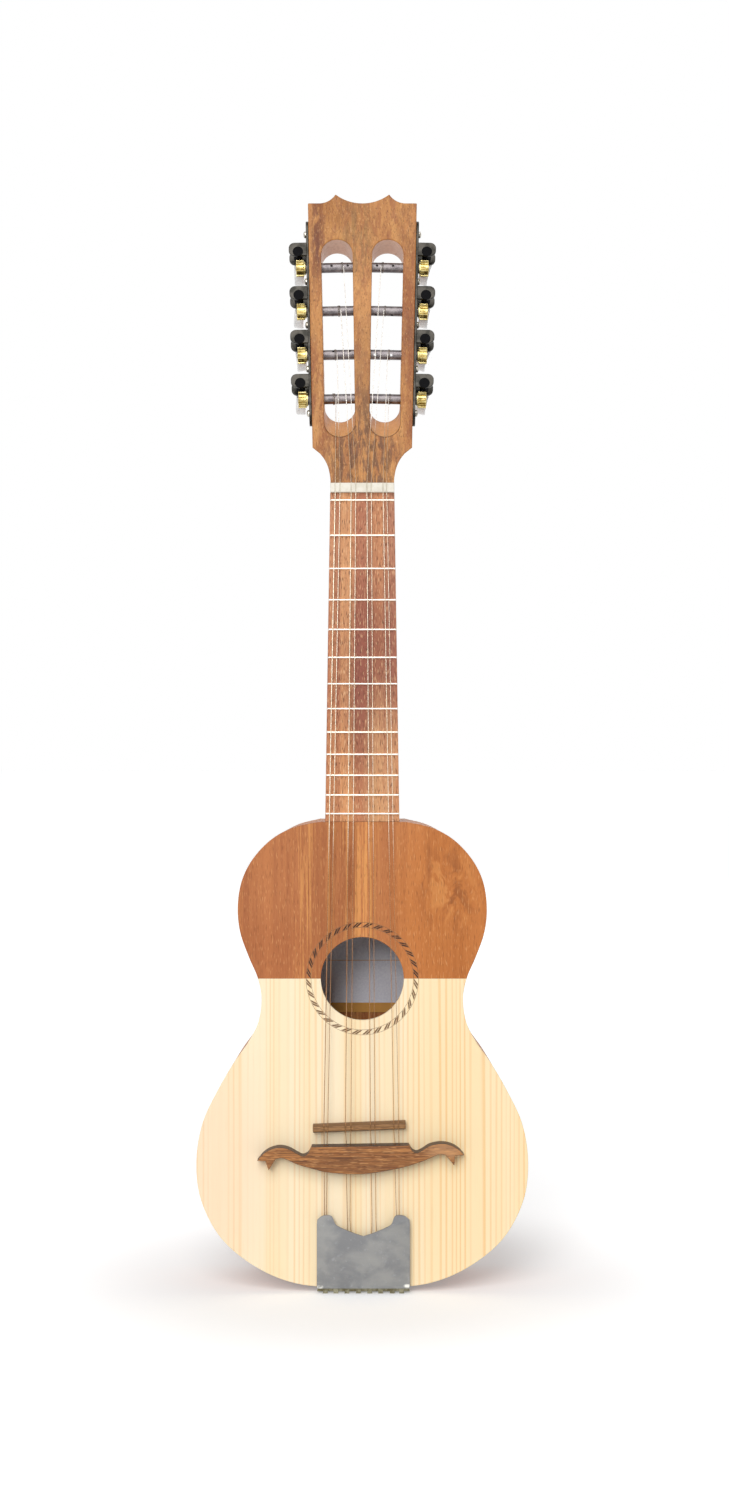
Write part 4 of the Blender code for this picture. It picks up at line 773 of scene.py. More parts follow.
def slab(outline, direction, low, high):
    """A flat outline made thick from low to high along a direction."""
    point = DIRECTIONS[direction]
    return loft([[point(a, b, level) for a, b in outline] for level in (low, high)])


def block(low, high):
    """A block between two corners (x, depth, z)."""
    outline = ((low[0], low[2]), (high[0], low[2]), (high[0], high[2]), (low[0], high[2]))
    return slab(outline, "depth", low[1], high[1])


def lathe(profile, steps, centre=(0, 0)):
    """A solid turned about an axis along +Z: its profile is (radius, height), from end to end."""
    rings = []
    for radius, height in profile:
        ring = arc(centre, max(radius, 1e-4), 0, 360, steps)[:-1]
        rings.append([(x, y, height) for x, y in ring])
    return loft(rings)


def round_edges(bm, width, segments=2, angle=35, keep=None):
    """Round the sharp edges, or those of them that keep(edge) picks."""
    limit = math.radians(angle)
    edges = [e for e in bm.edges if len(e.link_faces) == 2 and e.calc_face_angle() > limit]
    if keep:
        edges = [e for e in edges if keep(e)]
    bmesh.ops.bevel(
        bm, geom=edges, offset=width, segments=segments, profile=0.5, affect="EDGES", clamp_overlap=True
    )
    return bm


def placed(mesh, matrix):
    """The mesh moved by a matrix, and facing outwards even where that mirrors it."""
    if matrix:
        mesh.transform(matrix)
        if matrix.determinant() < 0:
            mesh.flip_normals()
    return mesh


def to_mesh(bm, matrix=None):
    mesh = bpy.data.meshes.new("shape")
    bm.to_mesh(mesh)
    bm.free()
    return placed(mesh, matrix)


def as_mesh(shape):
    return to_mesh(shape) if isinstance(shape, bmesh.types.BMesh) else shape


def in_scene(name, data):
    """A new object of the scene."""
    made = bpy.data.objects.new(name, data)
    bpy.context.scene.collection.objects.link(made)
    return made


def combine(mesh, operation, tools):
    """The mesh with others cut out of it or joined to it. Each may be a bmesh, and all are in one frame."""
    base = in_scene("base", as_mesh(mesh))
    helpers = []
    for tool in tools:
        helper = in_scene("tool", as_mesh(tool))
        helpers.append(helper)
        modifier = base.modifiers.new("Boolean", "BOOLEAN")
        modifier.operation = operation
        modifier.object = helper
        modifier.solver = "EXACT"
    bpy.context.view_layer.update()
    made = bpy.data.meshes.new_from_object(base.evaluated_get(bpy.context.evaluated_depsgraph_get()))
    for helper in helpers + [base]:
        bpy.data.objects.remove(helper)
    return made


def piece(name, shape, finish, node=None, body=ROOT, matrix=BODY, angle=32):
    """A shown piece of the instrument from a mesh or bmesh, which stands for a node or adds to one."""
    mesh = placed(as_mesh(shape), matrix)
    mesh.shade_smooth()
    mesh.set_sharp_from_angle(angle=math.radians(angle))
    mesh.materials.clear()
    mesh.materials.append(FINISHES[finish])
    made = in_scene(name, mesh)
    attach(made, body)
    if node:
        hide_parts(node)
    even = made.modifiers.new("Even shading", "WEIGHTED_NORMAL")
    even.keep_sharp = True
    even.weight = 100
    return made


# Body

def back_depth(z):
    """Depth of the back's outer face: the body is a little shallower at the neck."""
    return DEPTH_AT_TAIL + (DEPTH_AT_NECK - DEPTH_AT_TAIL) * (z - TAIL_Z) / (BODY_TOP_Z - TAIL_Z)


def leaned(line, depth_at):
    """A line along the ribs at a depth that depends on z, moved in as the ribs lean in towards the back."""
    steepness = BACK_INSET / DEPTH_AT_TAIL
    return inset(line, lambda z: steepness * depth_at(z) * min(1.0, (BODY_TOP_Z - z) / LEAN_FADE))


def split_edge(edge):
    """The right edge's points above and below the seam between the two woods, each with a point on it."""
    for i, ((x1, z1), (x2, z2)) in enumerate(zip(edge, edge[1:])):
        if z1 > SEAM_Z >= z2:
            share = (SEAM_Z - z1) / (z2 - z1)
            crossing = x1 + (x2 - x1) * share
            return edge[: i + 1] + [(crossing, SEAM_Z)], [(crossing, SEAM_Z)] + edge[i + 1 :]
    raise ValueError("the edge never meets the seam")


def on_outer_rim(edge):
    """Whether an edge is on a board's outer rim, and not on the seam or the soundhole."""
    if any(vertex.co.y > 0.01 for vertex in edge.verts):
        return False
    middle = (edge.verts[0].co + edge.verts[1].co) / 2
    from_hole = math.hypot(middle.x, middle.z - SEAM_Z)
    return abs(middle.z - SEAM_Z) > 0.1 and from_hole > HOLE_RADIUS + 1


def on_hole_rim(edge):
    middle = (edge.verts[0].co + edge.verts[1].co) / 2
    flat = abs(edge.verts[0].co.y - edge.verts[1].co.y) < 0.01
    return flat and abs(math.hypot(middle.x, middle.z - SEAM_Z) - HOLE_RADIUS) < 0.3


def make_top():
    """Two boards that meet on a line through the middle of the soundhole."""
    upper, lower = split_edge(through(BODY_EDGE, EDGE_STEPS))
    for name, half, gap, bow_from, wood, node in (
        ("top_spruce", lower, -TOUCH, 180, "spruce", "soundboard"),
        ("top_mahogany", upper, TOUCH, 0, "mahogany", "soundboard_upper"),
    ):
        bow = arc((0, SEAM_Z), HOLE_RADIUS, bow_from, bow_from + 180, 40)
        left = [(-x, z) for x, z in reversed(half)]
        outline = half[:-1] + left + bow if half is lower else half + bow + left
        outline = [(x, z + gap) if abs(z - SEAM_Z) < 1e-6 else (x, z) for x, z in outline]
        board = slab(outline, "depth", 0, BOARD_THICKNESS)
        round_edges(board, 0.35, 3, keep=on_outer_rim)
        round_edges(board, 0.2, 2, keep=on_hole_rim)
        piece(name, board, wood, node)


def ring_band(inner, outer, front, back, steps=128):
    """A flat ring round the soundhole."""
    profile = ((inner, back), (outer, back), (outer, front), (inner, front))
    rings = []
    for radius, depth in profile + profile[:1]:
        rings.append([(x, depth, z) for x, z in arc((0, SEAM_Z), radius, 0, 360, steps)[:-1]])
    bm = loft(rings, caps=False)
    bmesh.ops.remove_doubles(bm, verts=bm.verts, dist=1e-4)
    bmesh.ops.recalc_face_normals(bm, faces=bm.faces)
    return bm


def rope_mark(start, end):
    """One dark piece of the rope ring between two angles in degrees, slanted."""
    inner, outer = ROSETTE_INNER + ROPE_MARGIN, ROSETTE_OUTER - ROPE_MARGIN
    lean = ROPE_LEAN / 2
    corners = ((inner, start + lean), (outer, start - lean), (outer, end - lean), (inner, end + lean))
    points = []
    for radius, degrees in corners:
        angle = math.radians(degrees)
        points.append((radius * math.cos(angle), SEAM_Z + radius * math.sin(angle)))
    return slab(points, "depth", -0.03, 0.3)


def make_rosette():
    """Dark rope marks and two thin border lines let flush into both woods."""
    near, far = ROPE_MARK
    bm = bmesh.new()
    for number in range(ROPE_MARKS):
        middle = (number + 0.5) / ROPE_MARKS * 360
        bm.from_mesh(to_mesh(rope_mark(middle - far, middle - near)))
        bm.from_mesh(to_mesh(rope_mark(middle + near, middle + far)))
    piece("rosette_rope", bm, "rope_dark", "rosette_ring")
    for name, radius in (("inner", ROSETTE_INNER), ("outer", ROSETTE_OUTER - 0.2)):
        line = ring_band(radius, radius + 0.2, -0.02, 0.3)
        piece(f"rosette_line_{name}", line, "rope_line")


def rib(line):
    """A bent strip between two depths, thick to the line's right."""
    front = BOARD_THICKNESS + TOUCH

    def far(z):
        return back_depth(z) - BACK_THICKNESS - TOUCH

    outer_near, outer_far = leaned(line, lambda z: front), leaned(line, far)
    inner_near, inner_far = inset(outer_near, RIB_THICKNESS), inset(outer_far, RIB_THICKNESS)
    rings = []
    for spots in zip(outer_near, outer_far, inner_far, inner_near):
        depths = (front, far(spots[1][1]), far(spots[2][1]), front)
        rings.append([(x, depth, z) for (x, z), depth in zip(spots, depths)])
    return loft(rings)


def make_ribs():
    half = [(x, BODY_TOP_Z) for x in RIB_ENDS_X] + through(BODY_EDGE, EDGE_STEPS)
    right = half[:-1] + [(TOUCH, TAIL_Z)]
    left = [(-x, z) for x, z in reversed(right)]
    for name, line in (("right", right), ("left", left)):
        strip = to_mesh(rib(line))
        grain = strip.attributes.new(GRAIN_ALONG, "FLOAT_VECTOR", "POINT")
        along, before = 0.0, Vector(line[0])
        for number, spot in enumerate(line):
            along += (Vector(spot) - before).length
            before = Vector(spot)
            for vertex in strip.vertices[4 * number : 4 * number + 4]:
                grain.data[vertex.index].vector = Vector((vertex.co.y, vertex.index % 4, along)) * MM
        piece(f"rib_{name}_bent", strip, "bent_mahogany", f"rib_{name}")


def make_back():
    outline = leaned(mirrored(through(BODY_EDGE, EDGE_STEPS)), back_depth)
    rings = [[(x, back_depth(z) - lift, z) for x, z in outline] for lift in (BACK_THICKNESS, 0.0)]
    plate = loft(rings)

    def on_back_rim(edge):
        return all(abs(v.co.y - back_depth(v.co.z)) < 0.01 for v in edge.verts)

    round_edges(plate, 0.8, 4, keep=on_back_rim)
    piece("back_plate_rounded", plate, "mahogany", "back_plate")


# Neck and head

def board_half_width(z):
    share = (z - BODY_TOP_Z) / (NUT_HIGH_Z - BODY_TOP_Z)
    return JOINT_HALF_WIDTH + (NUT_HALF_WIDTH - JOINT_HALF_WIDTH) * share


def neck_depth(z):
    """Depth of the neck's back at a height: almost level, then a quarter round down into the heel."""
    top_of_curve = HEEL_NOSE_Z + HEEL_RADIUS
    if z >= top_of_curve:
        share = (z - top_of_curve) / (HEAD_FOOT_Z - top_of_curve)
        return NECK_DEPTH_AT_HEEL + (NECK_DEPTH_AT_NUT - NECK_DEPTH_AT_HEEL) * share
    if z >= HEEL_NOSE_Z:
        rest = math.sqrt(HEEL_RADIUS**2 - (top_of_curve - z) ** 2)
        return NECK_DEPTH_AT_HEEL + HEEL_RADIUS - rest
    curve_end = NECK_DEPTH_AT_HEEL + HEEL_RADIUS
    steepness = (DEPTH_AT_NECK - curve_end) / (HEEL_NOSE_Z - HEEL_CAP_Z)
    if z >= HEEL_CAP_Z:
        return curve_end + (HEEL_NOSE_Z - z) * steepness
    return DEPTH_AT_NECK + (HEEL_CAP_Z - z) * HEEL_CAP_SLANT


def neck_section(z, steps=40):
    """Half-round section of the neck at a height, cut off flat where the heel meets the back."""
    front = BOARD_DEPTH + TOUCH
    deep = neck_depth(z) - front
    half_width = board_half_width(z)
    ring = []
    for i in range(steps + 1):
        angle = math.pi * i / steps
        x = half_width * math.copysign(abs(math.cos(angle)) ** 0.85, math.cos(angle))
        depth = min(front + deep * max(0.0, math.sin(angle)) ** 0.95, DEPTH_AT_NECK - 0.1)
        ring.append((x, depth, z))
    return ring


def head_outline():
    """The head's outline on its face: shoulders, straight sides, and two points between hollow arcs."""
    shoulder = through([(NUT_HALF_WIDTH, 0.0), *SHOULDER_EDGE], 4)
    rise = CREST_UP - CORNER_UP
    side_run = VALLEY_HALF_WIDTH - CREST_HALF_WIDTH
    side_radius = (side_run**2 + rise**2) / (2 * rise)
    side_angle = math.degrees(math.asin(side_run / side_radius))
    side_arc = arc((VALLEY_HALF_WIDTH, CORNER_UP + side_radius), side_radius, 270, 270 - side_angle, 12)
    radius = (CREST_HALF_WIDTH**2 + rise**2) / (2 * rise)
    angle = math.degrees(math.asin(CREST_HALF_WIDTH / radius))
    middle_arc = arc((0, CORNER_UP + radius), radius, 270 + angle, 270, 16)
    half = shoulder + [(SHOULDER_HALF_WIDTH, SHOULDER_UP), (CORNER_HALF_WIDTH, CORNER_UP)]
    half += side_arc + middle_arc[1:-1] + [(0.0, CORNER_UP)]
    return mirrored(half)


def slot_tool(side):
    """What cuts one string slot: flared a little at the face, with a ramp at its foot."""
    over, flare = 2.0, 0.35
    rings = []
    for depth, extra in ((-over, flare + over), (0.0, flare), (flare, 0.0), (HEAD_THICKNESS + over, 0.0)):
        low = arc(SLOT_LOW[:2], SLOT_LOW[2] + extra, 180, 360, 28)
        high = arc(SLOT_HIGH[:2], SLOT_HIGH[2] + extra, 0, 180, 28)
        ring = []
        for x, up in low:
            ring.append((side * x, depth, up + SLOT_RAMP * max(0.0, depth) / HEAD_THICKNESS))
        ring += [(side * x, depth, up) for x, up in high]
        rings.append(ring)
    return loft(rings)


def make_neck():
    """Shaft, heel and head as one piece of wood, with the two slots and the holes of the eight posts."""
    curve = [HEEL_NOSE_Z + HEEL_RADIUS * (1 - math.sin(math.radians(90 - step * 6))) for step in range(16)]
    heights = [*NECK_RINGS_Z, *curve[::-1], HEEL_CAP_Z, HEEL_FOOT_Z, BODY_TOP_Z + TOUCH]
    shaft = to_mesh(loft([neck_section(z) for z in heights]), BODY)
    head = slab(head_outline(), "depth", 0, HEAD_THICKNESS)
    round_edges(head, 0.5, 3, angle=60)
    for vertex in head.verts:
        if vertex.co.z < SHOULDER_UP + 1:
            low = max(0.0, 1 - vertex.co.z / SHOULDER_UP)
            vertex.co.x *= 1 - SHOULDER_TAPER * low**2 * vertex.co.y / HEAD_THICKNESS
            vertex.co.z += SHOULDER_SLANT * vertex.co.y
    wood = combine(shaft, "UNION", [to_mesh(head, HEAD)])
    tools = [to_mesh(slot_tool(side), HEAD) for side in SIDES.values()]
    for side in SIDES.values():
        for row in range(len(POST_ROWS)):
            reach = POST_RADIUS + POST_SLACK
            hole = lathe(((reach, 3), (reach, POST_INNER_END - 0.3)), 28)
            tools.append(to_mesh(hole, post_frame(side, row)))
    wood = combine(wood, "DIFFERENCE", tools)
    piece("neck_and_head", wood, "neck", "neck", matrix=None)


def make_fingerboard():
    low, high = BODY_TOP_Z + 0.1, NUT_LOW_Z - TOUCH
    outline = [(board_half_width(low), low), (board_half_width(high), high)]
    outline += [(-x, z) for x, z in reversed(outline)]
    board = slab(outline, "depth", 0, BOARD_DEPTH)
    round_edges(board, 0.35, 3, keep=lambda edge: all(v.co.y < 0.01 for v in edge.verts))
    piece("fingerboard_plain", board, "board", "fingerboard")


def fret_z(number):
    return ZERO_FRET_Z - SCALE_LENGTH * (1 - 2 ** (-number / 12))


def make_frets():
    """Half-round crowns, with their ends filed to a slant."""
    for number in range(LAST_FRET + 1):
        z = fret_z(number)
        reach = board_half_width(z) - 0.15
        rings = []
        for x, height in ((-reach, 0.25), (-reach + 0.55, 1.0), (reach - 0.55, 1.0), (reach, 0.25)):
            crown = arc((0, 0), 1, 180, 0, 12)
            ring = [(x, -FRET_HEIGHT * height * b, z + FRET_WIDTH / 2 * a) for a, b in crown]
            ring += [(x, 0.05, z + FRET_WIDTH / 2), (x, 0.05, z - FRET_WIDTH / 2)]
            rings.append(ring)
        node = "fret_zero" if number == 0 else f"fret_{number}"
        piece(f"{node}_crown", loft(rings), "fret", node, angle=50)


def groove_tools(places, slack, over, depth, low, high):
    """What cuts the strings' grooves: open from a depth over the wood down to a round floor."""
    tools = []
    for x, radius in zip(places, STRING_RADII):
        half = radius + slack
        outline = [(x + half, over), (x - half, over)] + arc((x, depth), half, 180, 360, 6)
        tools.append(slab(outline, "z", low, high))
    return tools


def make_nut():
    bar = block((-NUT_HALF_WIDTH, -NUT_HEIGHT, NUT_LOW_Z), (NUT_HALF_WIDTH, BOARD_DEPTH, NUT_HIGH_Z))
    round_edges(bar, 0.45, 3)
    tools = groove_tools(STRING_AT_NUT, NUT_SLACK, -3, STRING_OVER_NUT, NUT_LOW_Z - 2, NUT_HIGH_Z + 2)
    piece("nut_notched", combine(bar, "DIFFERENCE", tools), "bone", "nut")


# Bridges and tailpiece

def make_floating_bridge():
    half = BRIDGE_WIDTH / 2
    side = [(-TOUCH, half), (-BRIDGE_SHOULDER, half), (-BRIDGE_HEIGHT, BRIDGE_TOP_HALF_WIDTH)]
    section = [side[0]] + [(depth, -z) for depth, z in side] + side[:0:-1]
    reach = BRIDGE_LENGTH / 2
    bar = slab(section, "x", -reach, reach)
    round_edges(bar, 0.35, 3)
    turn = Matrix.Translation((BRIDGE_CENTRE[0], 0, BRIDGE_CENTRE[1])) @ Matrix.Rotation(-BRIDGE_TURN, 4, "Y")
    low, high = BRIDGE_CENTRE[1] - 6, BRIDGE_CENTRE[1] + 6
    tools = groove_tools(STRING_AT_BRIDGE, BRIDGE_SLACK, -9, STRING_OVER_BRIDGE, low, high)
    mesh = combine(to_mesh(bar, turn), "DIFFERENCE", tools)
    piece("bridge_bar", mesh, "bridge", "floating_bridge", "bridge")


def make_moustache():
    upper = through(MOUSTACHE_UPPER[:9], 5) + through(MOUSTACHE_UPPER[9:], 5)
    sweep = through(MOUSTACHE_LOWER[2:13], 5)
    lower = list(MOUSTACHE_LOWER[:2]) + sweep + list(MOUSTACHE_LOWER[13:])
    bar = slab(upper + lower, "depth", -MOUSTACHE_HEIGHT, -TOUCH)
    round_edges(bar, 0.45, 3, keep=lambda edge: all(v.co.y < -MOUSTACHE_HEIGHT + 0.01 for v in edge.verts))
    tools = []
    for x, at_tail in zip(STRING_AT_BRIDGE, STRING_AT_TAIL):
        profile = ((MOUSTACHE_HOLE_RADIUS, 95), (MOUSTACHE_HOLE_RADIUS, 50))
        tools.append(lathe(profile, 16, ((x + at_tail) / 2, MOUSTACHE_HOLE_DEPTH)))
    mesh = combine(bar, "DIFFERENCE", tools)
    piece("moustache_carved", mesh, "moustache", "moustache_bridge")


def make_cover():
    """Sheet folded back along both sides, with an M-shaped upper edge."""
    side = COVER_HALF_WIDTH
    half = [(side, COVER_LOW_Z), (side, COVER_SIDE_TOP_Z)] + through(COVER_EDGE, 6)
    outline = [(x + COVER_CENTRE_X, z) for x, z in mirrored(half)]
    front = slab(outline, "depth", COVER_FRONT, COVER_FRONT + SHEET)
    flaps = []
    for x in (COVER_CENTRE_X - side, COVER_CENTRE_X + side - SHEET):
        low, high = (x, COVER_FRONT + SHEET / 2, COVER_LOW_Z), (x + SHEET, -TOUCH, COVER_SIDE_TOP_Z)
        flaps.append(block(low, high))
    bm = bmesh.new()
    bm.from_mesh(combine(front, "UNION", flaps))

    def on_fold(edge):
        a, b = (v.co for v in edge.verts)
        upright = abs(a.x - b.x) < 1e-3 and abs(a.y - b.y) < 1e-3
        on_front = a.y < COVER_FRONT + 0.01
        return upright and on_front and abs(abs(a.x - COVER_CENTRE_X) - side) < 1e-3

    round_edges(bm, 0.8, 4, keep=on_fold)
    round_edges(bm, 0.15, 2, angle=50)
    piece("cover_plate", bm, "cover", "tailpiece_cover")


# Strings

def string_x_between(number, z):
    """The x of a string where it runs straight from the bridge to the nut."""
    share = (z - BRIDGE_CENTRE[1]) / (NUT_HIGH_Z - BRIDGE_CENTRE[1])
    return STRING_AT_BRIDGE[number] + (STRING_AT_NUT[number] - STRING_AT_BRIDGE[number]) * share


def string_on_post(number):
    """Where a string's middle meets its post, on the head."""
    depth = POST_DEPTH - POST_RADIUS - STRING_RADII[number]
    return Vector((STRING_AT_POST[number], depth, POST_ROWS[STRING_ROW[number]]))


def wire(name, points, radius, finish, body):
    """A round wire through points in metres."""
    curve = bpy.data.curves.new(name, "CURVE")
    curve.dimensions = "3D"
    curve.bevel_depth = radius * MM
    curve.bevel_resolution = 3
    curve.use_fill_caps = True
    spline = curve.splines.new("POLY")
    spline.points.add(len(points) - 1)
    for spot, point in zip(spline.points, points):
        spot.co = (*point, 1)
    curve.materials.append(FINISHES[finish])
    made = in_scene(name, curve)
    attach(made, body)
    return made


def make_strings():
    """Each string from its hook, through the moustache, over bridge and nut, to its post."""
    for number, radius in enumerate(STRING_RADII):
        tail, bridge, nut = STRING_AT_TAIL[number], STRING_AT_BRIDGE[number], STRING_AT_NUT[number]
        over_fret = -(FRET_HEIGHT + 0.1 + radius)
        depth_there, board_end_z = STRING_OVER_BOARD_END
        route = [
            (HOOK_X[number], -2.1, 7.2),
            (HOOK_X[number] * 0.5 + tail * 0.5, -2.3, 16.0),
            (tail, -2.9, 40.0),
            ((bridge + tail) / 2, -4.2, MOUSTACHE_LOW_HOLE_Z),
            ((bridge + tail) / 2, -4.6, MOUSTACHE_HIGH_HOLE_Z),
            (bridge, STRING_OVER_BRIDGE, BRIDGE_CENTRE[1] - 0.8),
            (bridge, STRING_OVER_BRIDGE, BRIDGE_CENTRE[1] + 0.8),
            (string_x_between(number, board_end_z), depth_there, board_end_z),
            (string_x_between(number, ZERO_FRET_Z), over_fret, ZERO_FRET_Z),
            (nut, STRING_OVER_NUT, NUT_LOW_Z + 0.6),
            (nut, STRING_OVER_NUT, NUT_HIGH_Z - 0.3),
        ]
        points = [BODY @ Vector(point) for point in route]
        at_post = string_on_post(number)
        if STRING_ROW[number] == 3:
            edge_x = nut + (at_post.x - nut) * 0.5
            points.append(HEAD @ Vector((edge_x, -radius - 0.3, 26.0)))
        points.append(HEAD @ at_post)
        made = wire(f"string_{number + 1}_wire", points, radius, "string", ROOT)
        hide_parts(f"string_{number + 1}")


def make_windings():
    """Each string's turns round its post, from where it meets it."""
    for number, radius in enumerate(STRING_RADII):
        side_name = "left" if STRING_AT_POST[number] < 0 else "right"
        side, row = SIDES[side_name], STRING_ROW[number]
        matrix = post_frame(side, row)
        start = matrix.inverted() @ HEAD @ string_on_post(number)
        angle, pitch, reach = math.atan2(start.y, start.x), 2 * radius + 0.05, POST_RADIUS + radius
        points = []
        for step in range(int(WINDING_TURNS * WINDING_STEPS) + 1):
            turns = step / WINDING_STEPS
            turn = angle - side * 2 * math.pi * turns
            spot = (reach * math.cos(turn), reach * math.sin(turn), start.z + pitch * (1 + turns))
            points.append(matrix @ Vector(spot))
        wire(f"string_{number + 1}_winding", points, radius, "winding", f"post_{side_name}_{row + 1}")


# Tuners

def roller_mesh():
    """The post's roller with two string holes through it."""
    profile = (
        (POST_RADIUS - 0.3, POST_INNER_END),
        (POST_RADIUS, POST_INNER_END + 0.3),
        (POST_RADIUS, PLATE_TO + 0.1),
        (COLLAR_RADIUS, PLATE_TO + 0.1),
        (COLLAR_RADIUS, GEAR_COLLAR_FROM + 0.1),
        (2.4, GEAR_COLLAR_FROM + 0.5),
    )
    tools = []
    for out in STRING_HOLES_OUT:
        across = Matrix.Translation((0, 0, out)) @ turned(90, "X")
        tools.append(to_mesh(lathe(((STRING_HOLE_RADIUS, -4), (STRING_HOLE_RADIUS, 4)), 14), across))
    return combine(lathe(profile, 40), "DIFFERENCE", tools)


def gear_bm():
    """A brass worm gear whose teeth are hollowed to fit the worm."""
    pitch = 2 * math.pi / GEAR_TEETH
    middle, half = (GEAR_FROM + GEAR_TO) / 2, (GEAR_TO - GEAR_FROM) / 2
    rings = []
    for share in (-1.0, -0.9, -0.5, 0.0, 0.5, 0.9, 1.0):
        throat = 0.12 * (1 - share**2)
        rim = 0.25 if abs(share) == 1.0 else 0.0
        ring = []
        for tooth in range(GEAR_TEETH):
            for turn, radius in ((-0.34, GEAR_ROOT), (-0.17, GEAR_TIP), (0.17, GEAR_TIP), (0.34, GEAR_ROOT)):
                angle = (tooth + turn) * pitch
                reach = radius - rim - throat * (radius - GEAR_ROOT * 0.8) / (GEAR_TIP - GEAR_ROOT * 0.8)
                ring.append((reach * math.cos(angle), reach * math.sin(angle), middle + share * half))
        rings.append(ring)
    return loft(rings)


def gear_hub_bm():
    """The gear's turned collar next to the plate, and a low boss round its screw."""
    boss = GEAR_SCREW_RADIUS + 0.5
    return lathe(
        (
            (2.0, GEAR_COLLAR_FROM),
            (3.4, GEAR_COLLAR_FROM + 0.05),
            (GEAR_ROOT, GEAR_COLLAR_FROM + 0.3),
            (GEAR_ROOT, GEAR_FROM + 0.3),
            (boss, GEAR_FROM + 0.4),
            (boss, GEAR_TO + 0.05),
            (boss - 0.15, GEAR_TO + 0.15),
            (GEAR_SCREW_RADIUS - 0.2, GEAR_TO + 0.15),
        ),
        36,
    )


def slotted_screw(radius, height, base):
    """A domed screw head with a slot, standing on a face at base."""
    dome = [(radius, base - 0.3), (radius, base + height * 0.35)]
    for angle in (0.4, 0.8, 1.2, 1.5):
        dome.append((radius * math.cos(angle), base + height * (0.35 + 0.65 * math.sin(angle))))
    reach = radius * 1.2
    cut = block((-reach, -0.22, base + height * 0.5), (reach, 0.22, base + height * 2))
    return combine(lathe(dome, 24), "DIFFERENCE", [cut])


def worm_bm():
    """The worm's thread between its two journals, in the key's frame."""
    low, high = FRONT_LUG[1] + 0.05, REAR_LUG[0] - 0.05
    around, along = 28, 90
    rings = []
    for step in range(along + 1):
        height = low + (high - low) * step / along
        fade = min(1.0, 4 * min(step, along - step) / along)
        ring = []
        for i in range(around):
            turn = i / around
            phase = (height / WORM_PITCH - turn) % 1.0
            ridge = max(0.0, min(1.0, 2.4 * (1 - abs(2 * phase - 1)) - 0.7)) * fade
            reach = WORM_ROOT + (WORM_TIP - WORM_ROOT) * ridge
            angle = 2 * math.pi * turn
            ring.append((reach * math.cos(angle), reach * math.sin(angle), height))
        rings.append(ring)
    return loft(rings)


def button_bm():
    """A pearly tablet, oval seen from the side, with soft edges and a neck where the shaft goes in."""
    half_thickness, half_height, half_depth = BUTTON_HALF_SIZES
    rings = []
    for i in range(-8, 9):
        t = i / 8
        thin = math.copysign(1 - (1 - abs(t)) ** 2.2, t)
        shrink = (1 - abs(thin) ** 5) ** 0.2 if abs(thin) < 1 else 0.0
        reach = 0.72 + 0.28 * shrink
        ring = []
        for a, b in arc((0, 0), 1, 0, 360, 40)[:-1]:
            flat = (abs(a) ** 2.6 + abs(b) ** 2.6) ** (-1 / 2.6)
            y, z = a * flat * half_height * reach, b * flat * half_depth * reach
            ring.append((thin * half_thickness, y, BUTTON_CENTRE + z))
        rings.append(ring)
    return loft(rings)


def lug_bm(near, far):
    """A plate's ear that carries a worm, with its outer corners round."""
    corner = LUG_OUT - LUG_CORNER
    low, high = LUG_LIFT - LUG_HALF_HEIGHT, LUG_LIFT + LUG_HALF_HEIGHT
    outline = [(PLATE_TO - 0.4, low)]
    outline += arc((corner, low + LUG_CORNER), LUG_CORNER, 270, 360, 10)
    outline += arc((corner, high - LUG_CORNER), LUG_CORNER, 0, 90, 10)
    outline += [(PLATE_TO - 0.4, high)]
    return round_edges(slab(outline, "depth", near, far), 0.3, 3, angle=50)


def plate_bm():
    """The strip along the head's side."""
    low, high = PLATE_SPAN
    front, back = PLATE_DEPTHS
    middle, end_radius = (front + back) / 2, (back - front) / 2
    outline = arc((middle, high - end_radius), end_radius, 0, 180, 16)
    outline += arc((middle, low + end_radius), end_radius, 180, 360, 16)
    return round_edges(slab(outline, "x", PLATE_FROM - 0.28, PLATE_TO), 0.3, 3, angle=50)


def make_tuner_side(side_name, side):
    base = side_frame(side) @ Matrix.Scale(side, 4, (1, 0, 0))
    node = f"tuner_plate_{side_name}"
    piece(f"plate_{side_name}", plate_bm(), "plate", node, matrix=base)
    middle = sum(PLATE_DEPTHS) / 2
    for number, up in enumerate(SCREW_ROWS):
        place = base @ Matrix.Translation((PLATE_TO, middle, up)) @ turned(90, "Y")
        place = place @ turned(35 + 50 * number, "Z")
        screw = slotted_screw(PLATE_SCREW_RADIUS, PLATE_SCREW_HEIGHT, 0.0)
        piece(f"plate_screw_{side_name}_{number + 1}", screw, "screw", matrix=place)
    for row, up in enumerate(POST_ROWS):
        place = base @ Matrix.Translation((0, 0, up + WORM_RISE))
        for label, depths in (("front", FRONT_LUG), ("rear", REAR_LUG)):
            name = f"lug_{label}_{side_name}_{row + 1}"
            piece(name, lug_bm(*depths), "plate", matrix=place)


